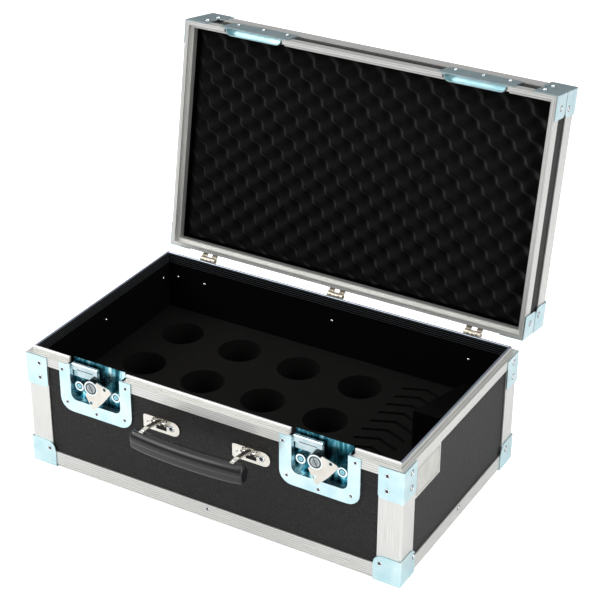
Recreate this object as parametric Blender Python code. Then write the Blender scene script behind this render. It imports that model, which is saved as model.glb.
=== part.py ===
"""Lighting tour case: a plywood flight case with a hinged lid, recessed butterfly latches and a foam insert.

The origin is on the floor under the middle of the whole outline, with the lid open. The case is 560 mm wide
along X, its front faces -Y, and the lid stands open behind it. Every length is in metres.
"""
import math

import bmesh
import bpy
from mathutils import Matrix, Vector

# Driving dimensions, measured over the steel corners
CASE_WIDTH = 0.560
CASE_DEPTH = 0.333
PARTING_HEIGHT = 0.1703
LID_HEIGHT = 0.072
LID_OPENING = math.radians(99.8)

# Gap between pieces that touch
SEAT_GAP = 0.0003
# How far a cutter runs past the surface that it cuts
OVERRUN = 0.002
# Number of straight pieces in a quarter round
QUARTER_STEPS = 4
# Bevel profile that gives a round edge
ROUND_SHARE = 0.5

# Sheet, extrusion and plywood thicknesses
STEEL = 0.0012
ALUMINIUM = 0.0015
PLYWOOD = 0.0065
RIM_INNER_LEG = 0.0012

# Visible widths of the edge extrusions
CORNER_ANGLE_LEG = 0.0328
CORNER_ANGLE_RADIUS = 0.0025
BOTTOM_ANGLE_LEG = 0.0225
LID_ANGLE_LEG = 0.0275

# Rim extrusions along the parting line
BASE_RIM_FLANGE = 0.014
BASE_RIM_INNER_DROP = 0.0085
TONGUE_HEIGHT = 0.007
TONGUE_INSET = 0.0062
TONGUE_CHAMFER = 0.0008
LID_RIM_FLANGE = 0.017
GROOVE_DEPTH = 0.0078
GROOVE_CLEARANCE = 0.0007

# Steel corners
FOOT_CORNER_LEG = 0.0385
FOOT_CORNER_ROUND = 0.012
LID_CORNER_LEG = 0.0365
LID_CORNER_ROUND = 0.010
CORNER_EDGE_RADIUS = 0.0014
BASE_BRACE_LEG = 0.0345
BASE_BRACE_HEIGHT = 0.045
BRACE_ROUND = 0.005
BRACE_LAND_DROP = 0.0012
LID_BRACE_LEG = 0.0340
LID_BRACE_HEIGHT = 0.0335

# Recessed butterfly latches and their keepers
LATCH_ROOM_SHARE = 0.4137
LATCH_SHIFT_SHARE = 0.0471
LATCH_FLANGE_WIDTH = 0.113
LATCH_FLANGE_HEIGHT = 0.070
LATCH_FLANGE_ROUND = 0.018
LATCH_RIM_CUT = 0.0892
CUP_WIDTH = 0.0784
CUP_HEIGHT = 0.051
CUP_DEPTH = 0.013
CUP_ROUND = 0.009
CUP_BACK_RISE = 0.006
POST_SPACING = 0.058
POST_RADIUS = 0.007
POST_DROP = 0.0052
POST_Z_DROP = 0.0312
HUB_SHIFT = -0.0045
HUB_Z_DROP = 0.0235
HUB_RADIUS = 0.0105
HUB_HEIGHT = 0.0100
SHAFT_RADIUS = 0.0045
WING_THICKNESS = 0.0016
WING_PROUD = 0.0010
WING_ROOT_HALF = 0.0150
WING_REACH = 0.0245
WING_CORNER_REACH = 0.0200
WING_CORNER_HALF = 0.0200
WING_REST_ANGLE = math.radians(-40)
WING_CORNER_ROUND = 0.0035
WING_HOLE_RADIUS = 0.0023
WING_HOLE_REACH = 0.0136
WING_HOLE_HALF = 0.0173
HOOK_WIDTH = 0.040
HOOK_SHIFT = -0.0180
HOOK_THICKNESS = 0.0015
HOOK_DEPTH = 0.0095
HOOK_LIP_DEPTH = 0.0038
HOOK_LIP_DROP = 0.009
HOOK_TOP_RISE = 0.0017
KEEPER_FLANGE_WIDTH = 0.106
KEEPER_FLANGE_HEIGHT = 0.0385
KEEPER_FLANGE_ROUND = 0.010
KEEPER_TRAY_WIDTH = 0.088
KEEPER_TRAY_DEPTH = 0.0112
KEEPER_TRAY_RISE = 0.0125
KEEPER_TRAY_ROUND = 0.0075
KEEPER_RIM_CUT = 0.0925

# Carrying handle on the front
HANDLE_SPREAD_SHARE = 0.2393
HANDLE_PLATE_WIDTH = 0.055
HANDLE_PLATE_HEIGHT = 0.0205
HANDLE_PLATE_THICKNESS = 0.0015
HANDLE_PLATE_DROP = 0.0375
HANDLE_PLATE_ROUND = 0.0095
HANDLE_PLATE_NOSE = 0.003
HANDLE_EAR_SPACING = 0.0190
HANDLE_EAR_THICKNESS = 0.0016
HANDLE_EAR_HEIGHT = 0.0090
HANDLE_EAR_HALF_WIDTH = 0.0030
HANDLE_WINDOW_MARGIN = 0.0040
HANDLE_PIN_RADIUS = 0.0015
HANDLE_PIN_STANDOFF = 0.0055
HANDLE_PIN_DROP = 0.0032
HANDLE_ARM_WIDTH = 0.0060
HANDLE_ARM_THICKNESS = 0.0018
HANDLE_ARM_REACH = 0.0405
HANDLE_ARM_RISE = 0.0067
EYE_START_ANGLE = math.radians(100)
EYE_END_ANGLE = math.radians(-190)
HANDLE_RIVET_INSET = 0.0040
HANDLE_RIVET_RADIUS = 0.0016
HANDLE_CORE_WIDTH = 0.006
GRIP_END_LENGTH = 0.0155
GRIP_HEIGHT = 0.0265
GRIP_THICKNESS = 0.020
GRIP_BOW = 0.005
GRIP_TAPER_SHARE = 0.10
GRIP_END_SHARE = 0.80

# Stop hinges on the back
HINGE_OFFSET = 0.0080
HINGE_MARGIN = 0.0695
HINGE_SHIFT = -0.0022
HINGE_WIDTH = 0.024
HINGE_LEAF_WIDTH = 0.040
HINGE_LEAF_HEIGHT = 0.032
HINGE_LEAF_THICKNESS = 0.002
HINGE_LEAF_CLEARANCE = 0.0055
HINGE_BARREL_RADIUS = 0.0042
HINGE_PIN_RADIUS = 0.0016
HINGE_PIN_HEAD = 0.0012

# Label plate on the right side
LABEL_LENGTH = 0.0683
LABEL_HEIGHT = 0.0445
LABEL_THICKNESS = 0.0010
LABEL_MARGIN = 0.0006

# Foam insert in the base
INSERT_DROP = 0.0815
HOLE_RADIUS = 0.0305
HOLE_FLOOR = 0.0184
HOLE_COLUMNS = 4
HOLE_ROWS = 3
HOLE_LEFT_MARGIN = 0.0627
HOLE_SLOT_SPACING = 0.0827
HOLE_FRONT_MARGIN = 0.0587
HOLE_BACK_MARGIN = 0.0621
HOLE_SIDES = 20
SLOT_WIDTH = 0.006
SLOT_REACH = 0.0316
SLOT_RISE = 0.0130
SLOT_COUNT = 12
SLOT_BOX_SPACING = 0.0469
SLOT_FRONT_MARGIN = 0.0361
SLOT_BACK_MARGIN = 0.0232

# Accessory compartment at the right rear
BOX_WIDTH = 0.0592
BOX_LENGTH = 0.1627
BOX_FRONT_DROP = 0.0305
BOX_BACK_DROP = 0.0740
BOX_PLYWOOD = 0.004
BOX_LID_THICKNESS = 0.007
BOX_LID_BACK_GAP = 0.0012
BOX_LID_CLEARANCE = 0.0008

# Foam in the lid
LID_FOAM_PEAK = 0.0092
LID_FOAM_EDGE = 0.0018

# Planes that the pieces share, as distances from the middle of the case
STEEL_X = CASE_WIDTH / 2
STEEL_Y = CASE_DEPTH / 2
ANGLE_X = STEEL_X - STEEL - SEAT_GAP
ANGLE_Y = STEEL_Y - STEEL - SEAT_GAP
PANEL_X = ANGLE_X - ALUMINIUM - SEAT_GAP
PANEL_Y = ANGLE_Y - ALUMINIUM - SEAT_GAP
INNER_X = PANEL_X - PLYWOOD
INNER_Y = PANEL_Y - PLYWOOD

# Levels of the base
ANGLE_BOTTOM = STEEL + SEAT_GAP
FLOOR_BOTTOM = ANGLE_BOTTOM + ALUMINIUM + SEAT_GAP
FLOOR_TOP = FLOOR_BOTTOM + PLYWOOD
LAND = PARTING_HEIGHT - SEAT_GAP
RIM_LOW = LAND - BASE_RIM_FLANGE
WALL_TOP = LAND - ALUMINIUM - SEAT_GAP
TONGUE_TOP = LAND + TONGUE_HEIGHT

# Levels of the lid when it is closed
LID_LAND = PARTING_HEIGHT
LID_TOP = PARTING_HEIGHT + LID_HEIGHT
LID_ANGLE_TOP = LID_TOP - STEEL - SEAT_GAP
LID_PANEL_TOP = LID_ANGLE_TOP - ALUMINIUM - SEAT_GAP
LID_PANEL_BOTTOM = LID_PANEL_TOP - PLYWOOD
LID_RIM_TOP = LID_LAND + LID_RIM_FLANGE
LID_WEB_TOP = LID_LAND + GROOVE_DEPTH + ALUMINIUM
KEEPER_TRAY_TOP = LID_LAND + KEEPER_TRAY_RISE + STEEL

# Where the rim's inner leg stands, as insets from the angle plane
LEG_INSET = ALUMINIUM + SEAT_GAP + PLYWOOD + SEAT_GAP
RIM_INSET = LEG_INSET + RIM_INNER_LEG

# Lid hinge axis
HINGE_AXIS = Vector((0, STEEL_Y + HINGE_OFFSET, PARTING_HEIGHT))

# Latch levels, and depths behind the flange's face as Y
LATCH_FACE = -STEEL_Y
CUP_BOTTOM = LAND - CUP_HEIGHT
CUP_BACK = LATCH_FACE + CUP_DEPTH
HUB_Z = LAND - HUB_Z_DROP
WING_OUTER = LATCH_FACE - WING_PROUD - WING_THICKNESS
WING_MIDDLE = LATCH_FACE - WING_PROUD - WING_THICKNESS / 2
HOOK_TOP = LAND + HOOK_TOP_RISE
HANDLE_SPREAD = CASE_WIDTH * HANDLE_SPREAD_SHARE
HANDLE_END = (HANDLE_SPREAD + HANDLE_PLATE_WIDTH) / 2
LATCH_ROOM = ANGLE_X - CORNER_ANGLE_LEG - HANDLE_END - LATCH_FLANGE_WIDTH
LATCH_OFFSET = HANDLE_END + LATCH_ROOM * LATCH_ROOM_SHARE + LATCH_FLANGE_WIDTH / 2
LATCH_SHIFT = -LATCH_ROOM * LATCH_SHIFT_SHARE
LATCH_CENTRES = {"left": LATCH_SHIFT - LATCH_OFFSET, "right": LATCH_SHIFT + LATCH_OFFSET}

# Handle pivot
HANDLE_PLATE_TOP = LAND - HANDLE_PLATE_DROP
HANDLE_PLATE_LOW = HANDLE_PLATE_TOP - HANDLE_PLATE_HEIGHT
HANDLE_AXIS = Vector((0, -PANEL_Y - SEAT_GAP - HANDLE_PIN_STANDOFF, HANDLE_PLATE_TOP - HANDLE_PIN_DROP))
HANDLE_EYE_RADIUS = HANDLE_PIN_RADIUS + SEAT_GAP + HANDLE_ARM_THICKNESS
ARM_END_Y = HANDLE_AXIS.y - HANDLE_ARM_REACH
ARM_END_LOW = HANDLE_AXIS.z + HANDLE_ARM_RISE
GRIP_MIDDLE_Y = ARM_END_Y + HANDLE_RIVET_INSET
GRIP_TOP = ARM_END_LOW - SEAT_GAP
GRIP_MIDDLE_Z = GRIP_TOP - GRIP_HEIGHT / 2

# Where the compartment stands, and the slope of its lid
BOX_LEFT = INNER_X - BOX_WIDTH
BOX_FRONT = INNER_Y - BOX_LENGTH
BOX_BACK = INNER_Y - SEAT_GAP
BOX_FRONT_TOP = LAND - BOX_FRONT_DROP
BOX_BACK_TOP = LAND - BOX_BACK_DROP
BOX_SLOPE = math.atan2(BOX_FRONT_TOP - BOX_BACK_TOP, BOX_BACK - BOX_FRONT)

# Where the insert's holes and slots are
INSERT_TOP = LAND - INSERT_DROP
HOLE_BOTTOM = FLOOR_TOP + SEAT_GAP + HOLE_FLOOR
SLOT_APEX_X = BOX_LEFT - SLOT_BOX_SPACING
FIRST_HOLE_X = HOLE_LEFT_MARGIN - INNER_X
HOLE_COLUMN_PITCH = (SLOT_APEX_X - HOLE_SLOT_SPACING - FIRST_HOLE_X) / (HOLE_COLUMNS - 1)
FIRST_HOLE_Y = HOLE_FRONT_MARGIN - INNER_Y
HOLE_ROW_PITCH = (2 * INNER_Y - HOLE_FRONT_MARGIN - HOLE_BACK_MARGIN) / (HOLE_ROWS - 1)
FIRST_SLOT_Y = SLOT_FRONT_MARGIN - INNER_Y
SLOT_PITCH = (2 * INNER_Y - SLOT_FRONT_MARGIN - SLOT_BACK_MARGIN) / (SLOT_COUNT - 1)

MATERIALS = {}
SIGNS = {"left": -1, "right": 1, "front": -1, "back": 1}


def material(name, colour, roughness, metallic):
    """A Principled material, made once for each finish."""
    if name not in MATERIALS:
        made = bpy.data.materials.new(name)
        made.use_nodes = True
        shader = made.node_tree.nodes["Principled BSDF"]
        shader.inputs["Base Color"].default_value = (*colour, 1)
        shader.inputs["Roughness"].default_value = roughness
        shader.inputs["Metallic"].default_value = metallic
        made.diffuse_color = (*colour, 1)
        MATERIALS[name] = made
    return MATERIALS[name]


def aluminium():
    """Natural anodised aluminium extrusion."""
    return material("aluminium", (0.80, 0.80, 0.79), 0.38, 1.0)


def zinc():
    """Bright blue zinc plated steel."""
    return material("zinc", (0.74, 0.86, 0.88), 0.25, 1.0)


def nickel():
    """Nickel plated steel."""
    return material("nickel", (0.86, 0.84, 0.78), 0.22, 1.0)


def brass():
    """Brass plated hinge steel."""
    return material("brass", (0.70, 0.55, 0.30), 0.35, 1.0)


def laminate():
    """Black leather-grained laminate on plywood."""
    return material("laminate", (0.028, 0.027, 0.026), 0.55, 0.0)


def foam():
    """Black foam."""
    return material("foam", (0.012, 0.011, 0.010), 0.95, 0.0)


def black_plastic():
    """Black moulded grip."""
    return material("black_plastic", (0.015, 0.015, 0.016), 0.45, 0.0)


def label_metal():
    """Silver label plate."""
    return material("label_metal", (0.62, 0.62, 0.60), 0.45, 0.7)


def place(name, shape, finish, pivot=(0, 0, 0), parent=None):
    """Turn a bmesh into an object whose origin is the pivot, under an empty at that pivot if one is given."""
    pivot = Vector(pivot)
    bmesh.ops.translate(shape, verts=shape.verts, vec=-pivot)
    bmesh.ops.recalc_face_normals(shape, faces=shape.faces)
    mesh = bpy.data.meshes.new(name)
    shape.to_mesh(mesh)
    shape.free()
    obj = bpy.data.objects.new(name, mesh)
    bpy.context.scene.collection.objects.link(obj)
    if finish:
        mesh.materials.append(finish)
    if parent:
        obj.parent = parent
    else:
        obj.location = pivot
    return obj


def axis_empty(name, location, turn=0.0):
    """An empty on a joint's axis, turned about X from the pose that its pieces are modelled in."""
    empty = bpy.data.objects.new(name, None)
    bpy.context.scene.collection.objects.link(empty)
    empty.location = location
    empty.rotation_euler.x = turn
    empty.empty_display_size = PLYWOOD
    return empty


def combine(obj, shape, operation, pivot=(0, 0, 0), parent=None):
    """Cut a shape from an object, or join it on, with a hidden tool object."""
    tool = place(f"{obj.name}_tool_{len(obj.modifiers)}", shape, None, pivot, parent)
    tool.hide_render = True
    tool.display_type = "WIRE"
    boolean = obj.modifiers.new(tool.name, "BOOLEAN")
    boolean.operation = operation
    boolean.solver = "EXACT"
    boolean.object = tool
    return obj


def smooth(obj, angle=math.radians(35)):
    """Shade the round stretches smooth."""
    obj.data.shade_smooth()
    obj.data.set_sharp_from_angle(angle=angle)


def box(low, high):
    """A block between two corners."""
    shape = bmesh.new()
    size = Vector(high) - Vector(low)
    middle = (Vector(high) + Vector(low)) / 2
    bmesh.ops.create_cube(shape, size=1, matrix=Matrix.Translation(middle) @ Matrix.Diagonal((*size, 1)))
    return shape


def prism(outline, axis, start, end, shape=None):
    """An outline extruded along X, Y or Z. The outline's pairs are the other two coordinates in order."""
    shape = shape or bmesh.new()
    spot = {"x": lambda a, b, c: (c, a, b), "y": lambda a, b, c: (a, c, b), "z": lambda a, b, c: (a, b, c)}[axis]
    rings = [[shape.verts.new(spot(a, b, level)) for a, b in outline] for level in (start, end)]
    shape.faces.new(rings[0])
    shape.faces.new(rings[1][::-1])
    for i in range(len(outline)):
        j = (i + 1) % len(outline)
        shape.faces.new((rings[0][j], rings[0][i], rings[1][i], rings[1][j]))
    return shape


def arc(centre, radius, start, end, steps=QUARTER_STEPS):
    """Points along an arc, both ends included."""
    angles = [start + (end - start) * i / steps for i in range(steps + 1)]
    return [(centre[0] + radius * math.cos(a), centre[1] + radius * math.sin(a)) for a in angles]


def rounded(low, high, radii, steps=QUARTER_STEPS):
    """A rectangle's outline with a radius for each corner: low left, low right, high right, high left."""
    corners = [(low[0], low[1], 1, 1), (high[0], low[1], -1, 1), (high[0], high[1], -1, -1), (low[0], high[1], 1, -1)]
    points = []
    for quarter, ((x, y, inward_x, inward_y), radius) in enumerate(zip(corners, radii)):
        if radius > 0:
            start = math.pi + quarter * math.pi / 2
            centre = (x + inward_x * radius, y + inward_y * radius)
            points += arc(centre, radius, start, start + math.pi / 2, steps)
        else:
            points.append((x, y))
    return points


def circle(centre, radius, sides):
    """A round outline."""
    return [(centre[0] + radius * math.cos(2 * math.pi * i / sides),
             centre[1] + radius * math.sin(2 * math.pi * i / sides)) for i in range(sides)]


def edge_bar(profile, side, start, end):
    """A bar along one edge of the case. The profile's pairs are the inset from the angle plane and the height.

    Where an end is None the bar is mitred at the corner of the case.
    """
    shape = bmesh.new()
    along_x = side in ("front", "back")
    half_along = ANGLE_X if along_x else ANGLE_Y
    half_across = ANGLE_Y if along_x else ANGLE_X
    mitre_back = SEAT_GAP / math.sqrt(2)
    rings = []
    for limit, sign in ((start, -1), (end, 1)):
        ring = []
        for inset, height in profile:
            along = sign * (half_along - inset - mitre_back) if limit is None else limit
            across = SIGNS[side] * (half_across - inset)
            ring.append(shape.verts.new((along, across, height) if along_x else (across, along, height)))
        rings.append(ring)
    shape.faces.new(rings[0])
    shape.faces.new(rings[1][::-1])
    for i in range(len(profile)):
        j = (i + 1) % len(profile)
        shape.faces.new((rings[0][j], rings[0][i], rings[1][i], rings[1][j]))
    return shape


def edge_ring(profile, open_front=False):
    """A mitred frame with one profile round the four edges, or round the back and two sides only."""
    shape = bmesh.new()
    corners = [(-1, -1), (-1, 1), (1, 1), (1, -1)]
    rings = []
    for sign_x, sign_y in corners:
        ring = []
        for inset, height in profile:
            y = sign_y * (ANGLE_Y - inset)
            if open_front and sign_y < 0:
                y += SEAT_GAP / math.sqrt(2)
            ring.append(shape.verts.new((sign_x * (ANGLE_X - inset), y, height)))
        rings.append(ring)
    for k in range(3 if open_front else 4):
        here, there = rings[k], rings[(k + 1) % 4]
        for i in range(len(profile)):
            j = (i + 1) % len(profile)
            shape.faces.new((here[j], here[i], there[i], there[j]))
    if open_front:
        shape.faces.new(rings[0])
        shape.faces.new(rings[3][::-1])
    return shape


def angle_profile(leg, low):
    """An angle with its outer corner at inset 0 and the low level, its legs running in and up."""
    r = CORNER_ANGLE_RADIUS
    points = arc((r, low + r), r, math.pi, 1.5 * math.pi, 2)
    return points + [(leg, low), (leg, low + ALUMINIUM), (ALUMINIUM, low + ALUMINIUM), (ALUMINIUM, low + leg),
                     (0, low + leg)]


def corner_plate(signs, leg, corner_round, corner):
    """A three-legged steel corner, pressed from sheet, with its tip at the corner of the case."""
    shape = bmesh.new()
    tip = shape.verts.new((0, 0, 0))
    ends = [shape.verts.new(tuple(leg if i == axis else 0 for i in range(3))) for axis in range(3)]
    far = leg - corner_round
    for a, b in ((0, 1), (1, 2), (2, 0)):
        points = []
        for u, v in arc((far, far), corner_round, 0, math.pi / 2, QUARTER_STEPS):
            spot = [0, 0, 0]
            spot[a] = u
            spot[b] = v
            points.append(shape.verts.new(spot))
        shape.faces.new([tip, ends[a], *points, ends[b]])
    edges = [e for e in shape.edges if tip in e.verts]
    bmesh.ops.bevel(shape, geom=edges, offset=CORNER_EDGE_RADIUS, segments=2, profile=ROUND_SHARE, affect="EDGES")
    bmesh.ops.recalc_face_normals(shape, faces=shape.faces)
    inward = Matrix.Diagonal((-signs[0], -signs[1], -signs[2], 1))
    bmesh.ops.transform(shape, matrix=Matrix.Translation(corner) @ inward, verts=shape.verts)
    if signs[0] * signs[1] * signs[2] > 0:
        bmesh.ops.reverse_faces(shape, faces=shape.faces)
    return shape


def press_shell(name, shape, signs, finish, pivot=(0, 0, 0), parent=None):
    """Give a pressed sheet its thickness, inwards from the surface that was drawn."""
    pivot = Vector(pivot)
    bmesh.ops.translate(shape, verts=shape.verts, vec=-pivot)
    outward = Vector(signs).normalized()
    average = sum((f.normal * f.calc_area() for f in shape.faces), Vector())
    if average.dot(outward) < 0:
        bmesh.ops.reverse_faces(shape, faces=shape.faces)
    mesh = bpy.data.meshes.new(name)
    shape.to_mesh(mesh)
    shape.free()
    obj = bpy.data.objects.new(name, mesh)
    bpy.context.scene.collection.objects.link(obj)
    mesh.materials.append(finish)
    if parent:
        obj.parent = parent
    else:
        obj.location = pivot
    solidify = obj.modifiers.new("sheet", "SOLIDIFY")
    solidify.thickness = STEEL
    solidify.offset = -1
    solidify.use_even_offset = True
    return obj


def brace(name, sign_x, sign_y, leg, low, high, round_low, round_high, pivot=(0, 0, 0), parent=None):
    """A two-legged steel brace round an upright corner of the case."""
    shape = bmesh.new()
    r = CORNER_EDGE_RADIUS
    bend = arc((-r, -r), r, 0, math.pi / 2, 2)
    low_r = BRACE_ROUND if round_low else 0
    high_r = BRACE_ROUND if round_high else 0
    ends = []
    if low_r:
        ends += [(leg - low_r * (1 - math.cos(a)), low + low_r * (1 - math.sin(a)))
                 for a in (math.pi / 2, math.pi / 4, 0)]
    else:
        ends += [(leg, low)]
    if high_r:
        ends += [(leg - high_r * (1 - math.cos(a)), high - high_r * (1 - math.sin(a)))
                 for a in (0, math.pi / 4, math.pi / 2)]
    else:
        ends += [(leg, high)]
    columns = [(sign_x * (STEEL_X + a), sign_y * (STEEL_Y + b)) for a, b in bend]
    lows = [shape.verts.new((x, y, low)) for x, y in columns]
    highs = [shape.verts.new((x, y, high)) for x, y in columns]
    for i in range(len(columns) - 1):
        shape.faces.new((lows[i], lows[i + 1], highs[i + 1], highs[i]))
    on_side = [shape.verts.new((sign_x * STEEL_X, sign_y * (STEEL_Y - a), z)) for a, z in ends]
    on_front = [shape.verts.new((sign_x * (STEEL_X - a), sign_y * STEEL_Y, z)) for a, z in ends]
    shape.faces.new([lows[0], *on_side, highs[0]])
    shape.faces.new([lows[-1], *on_front, highs[-1]])
    bmesh.ops.recalc_face_normals(shape, faces=shape.faces)
    return press_shell(name, shape, (sign_x, sign_y, 0), zinc(), pivot, parent)


def base_panels():
    """Floor and four walls of the base. The front has cut-outs for the latch dishes."""
    wall_low = FLOOR_TOP + SEAT_GAP
    place("base_floor_panel", box((-PANEL_X, -PANEL_Y, FLOOR_BOTTOM), (PANEL_X, PANEL_Y, FLOOR_TOP)), laminate())
    front = place("base_front_panel", box((-PANEL_X, -PANEL_Y, wall_low), (PANEL_X, -INNER_Y, WALL_TOP)), laminate())
    half = CUP_WIDTH / 2 + STEEL + SEAT_GAP
    low = CUP_BOTTOM - STEEL - SEAT_GAP
    for centre in LATCH_CENTRES.values():
        cut = box((centre - half, -PANEL_Y - OVERRUN, low), (centre + half, -INNER_Y + OVERRUN, WALL_TOP + OVERRUN))
        combine(front, cut, "DIFFERENCE")
    place("base_back_panel", box((-PANEL_X, INNER_Y, wall_low), (PANEL_X, PANEL_Y, WALL_TOP)), laminate())
    inside = INNER_Y - SEAT_GAP
    place("base_left_panel", box((-PANEL_X, -inside, wall_low), (-INNER_X, inside, WALL_TOP)), laminate())
    place("base_right_panel", box((INNER_X, -inside, wall_low), (PANEL_X, inside, WALL_TOP)), laminate())


def base_edges():
    """Angles along the floor edges, as one mitred frame, and up the four corners."""
    place("base_bottom_edge_frame", edge_ring(angle_profile(BOTTOM_ANGLE_LEG, ANGLE_BOTTOM)), aluminium())
    low = ANGLE_BOTTOM + BOTTOM_ANGLE_LEG + SEAT_GAP
    high = RIM_LOW - SEAT_GAP
    r = CORNER_ANGLE_RADIUS
    leg = CORNER_ANGLE_LEG
    t = ALUMINIUM
    outline = arc((-r, -r), r, 0, math.pi / 2, 2) + [(-leg, 0), (-leg, -t), (-t, -t), (-t, -leg), (0, -leg)]
    for side_x in ("left", "right"):
        for side_y in ("front", "back"):
            sx, sy = SIGNS[side_x], SIGNS[side_y]
            points = [(sx * (ANGLE_X + a), sy * (ANGLE_Y + b)) for a, b in outline]
            place(f"base_corner_angle_{side_y}_{side_x}", prism(points, "z", low, high), aluminium())


def base_rim_profile():
    """Channel over the wall's top edge, with the tongue that locates the lid."""
    c = TONGUE_CHAMFER
    inner_low = LAND - BASE_RIM_INNER_DROP
    web_low = LAND - ALUMINIUM
    return [(0, RIM_LOW), (0, LAND), (TONGUE_INSET, LAND), (TONGUE_INSET, TONGUE_TOP - c),
            (TONGUE_INSET + c, TONGUE_TOP), (RIM_INSET - c, TONGUE_TOP), (RIM_INSET, TONGUE_TOP - c),
            (RIM_INSET, inner_low), (LEG_INSET, inner_low), (LEG_INSET, web_low), (ALUMINIUM, web_low),
            (ALUMINIUM, RIM_LOW)]


def base_rim():
    """Rim extrusion: three lengths along the front, between the latches, and one bent round sides and back."""
    profile = base_rim_profile()
    half_cut = LATCH_RIM_CUT / 2
    left, right = LATCH_CENTRES["left"], LATCH_CENTRES["right"]
    spans = {"left": (None, left - half_cut), "middle": (left + half_cut, right - half_cut),
             "right": (right + half_cut, None)}
    for name, (start, end) in spans.items():
        place(f"base_rim_front_{name}", edge_bar(profile, "front", start, end), aluminium())
    place("base_rim_sides_and_back", edge_ring(profile, open_front=True), aluminium())


def base_corners():
    """Three-legged steel corners under the base, which it stands on, and braces at the rim."""
    for side_x in ("left", "right"):
        for side_y in ("front", "back"):
            sx, sy = SIGNS[side_x], SIGNS[side_y]
            corner = (sx * STEEL_X, sy * STEEL_Y, 0)
            shape = corner_plate((sx, sy, -1), FOOT_CORNER_LEG, FOOT_CORNER_ROUND, corner)
            press_shell(f"base_foot_corner_{side_y}_{side_x}", shape, (sx, sy, -1), zinc())
            high = LAND - BRACE_LAND_DROP
            brace(f"base_rim_brace_{side_y}_{side_x}", sx, sy, BASE_BRACE_LEG, high - BASE_BRACE_HEIGHT, high,
                  True, False)


def label_plate():
    """Bare label plate under the rim on the right side, next to the front brace."""
    front = -STEEL_Y + BASE_BRACE_LEG + LABEL_MARGIN
    top = RIM_LOW - LABEL_MARGIN
    inner = PANEL_X + SEAT_GAP
    low = (inner, front, top - LABEL_HEIGHT)
    high = (inner + LABEL_THICKNESS, front + LABEL_LENGTH, top)
    place("label_plate", box(low, high), label_metal())


def latch_dish(side, centre):
    """Pressed dish of a latch: a flange over the wall and the rim, and a cup that opens upwards."""
    half = LATCH_FLANGE_WIDTH / 2
    low = LAND - LATCH_FLANGE_HEIGHT
    r = LATCH_FLANGE_ROUND
    outline = rounded((centre - half, low), (centre + half, LAND), (r, r, 0, 0), 5)
    dish = place(f"latch_dish_{side}", prism(outline, "y", LATCH_FACE, -PANEL_Y - SEAT_GAP), zinc())
    cup = CUP_WIDTH / 2
    outer = rounded((centre - cup - STEEL, CUP_BOTTOM - STEEL), (centre + cup + STEEL, LAND),
                    (CUP_ROUND + STEEL, CUP_ROUND + STEEL, 0, 0))
    combine(dish, prism(outer, "y", LATCH_FACE + STEEL, CUP_BACK + STEEL), "UNION")
    inner = rounded((centre - cup, CUP_BOTTOM), (centre + cup, LAND + OVERRUN), (CUP_ROUND, CUP_ROUND, 0, 0))
    combine(dish, prism(inner, "y", LATCH_FACE - OVERRUN, CUP_BACK), "DIFFERENCE")
    combine(dish, box((centre - cup - STEEL, CUP_BACK, LAND - OVERRUN),
                      (centre + cup + STEEL, CUP_BACK + STEEL, LAND + CUP_BACK_RISE)), "UNION")
    for sign in (-1, 1):
        edges = sorted((centre + sign * (LATCH_RIM_CUT / 2 - SEAT_GAP), centre + sign * (half + OVERRUN)))
        relief = box((edges[0], -ANGLE_Y - SEAT_GAP, RIM_LOW - SEAT_GAP), (edges[1], -PANEL_Y, LAND + OVERRUN))
        combine(dish, relief, "DIFFERENCE")
        post = circle((centre + sign * POST_SPACING / 2, LAND - POST_Z_DROP), POST_RADIUS, 16)
        combine(dish, prism(post, "y", LATCH_FACE + POST_DROP, CUP_BACK + STEEL / 2), "UNION")
    smooth(dish)


def latch_spindle(side, centre):
    """Round hub on a shaft, which turns in the dish."""
    x = centre + HUB_SHIFT
    shape = bmesh.new()
    back = CUP_BACK - SEAT_GAP
    shoulder = WING_OUTER + HUB_HEIGHT
    sides = 24
    profile = [(SHAFT_RADIUS, back), (SHAFT_RADIUS, shoulder), (HUB_RADIUS, shoulder), (HUB_RADIUS, WING_OUTER)]
    rings = [[shape.verts.new((x + a, y, HUB_Z + b)) for a, b in circle((0, 0), radius, sides)]
             for radius, y in profile]
    shape.faces.new(rings[0])
    shape.faces.new(rings[-1][::-1])
    for here, there in zip(rings, rings[1:]):
        for i in range(sides):
            j = (i + 1) % sides
            shape.faces.new((here[j], here[i], there[i], there[j]))
    spindle = place(f"latch_spindle_{side}", shape, zinc(), (x, WING_OUTER, HUB_Z))
    smooth(spindle)


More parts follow.
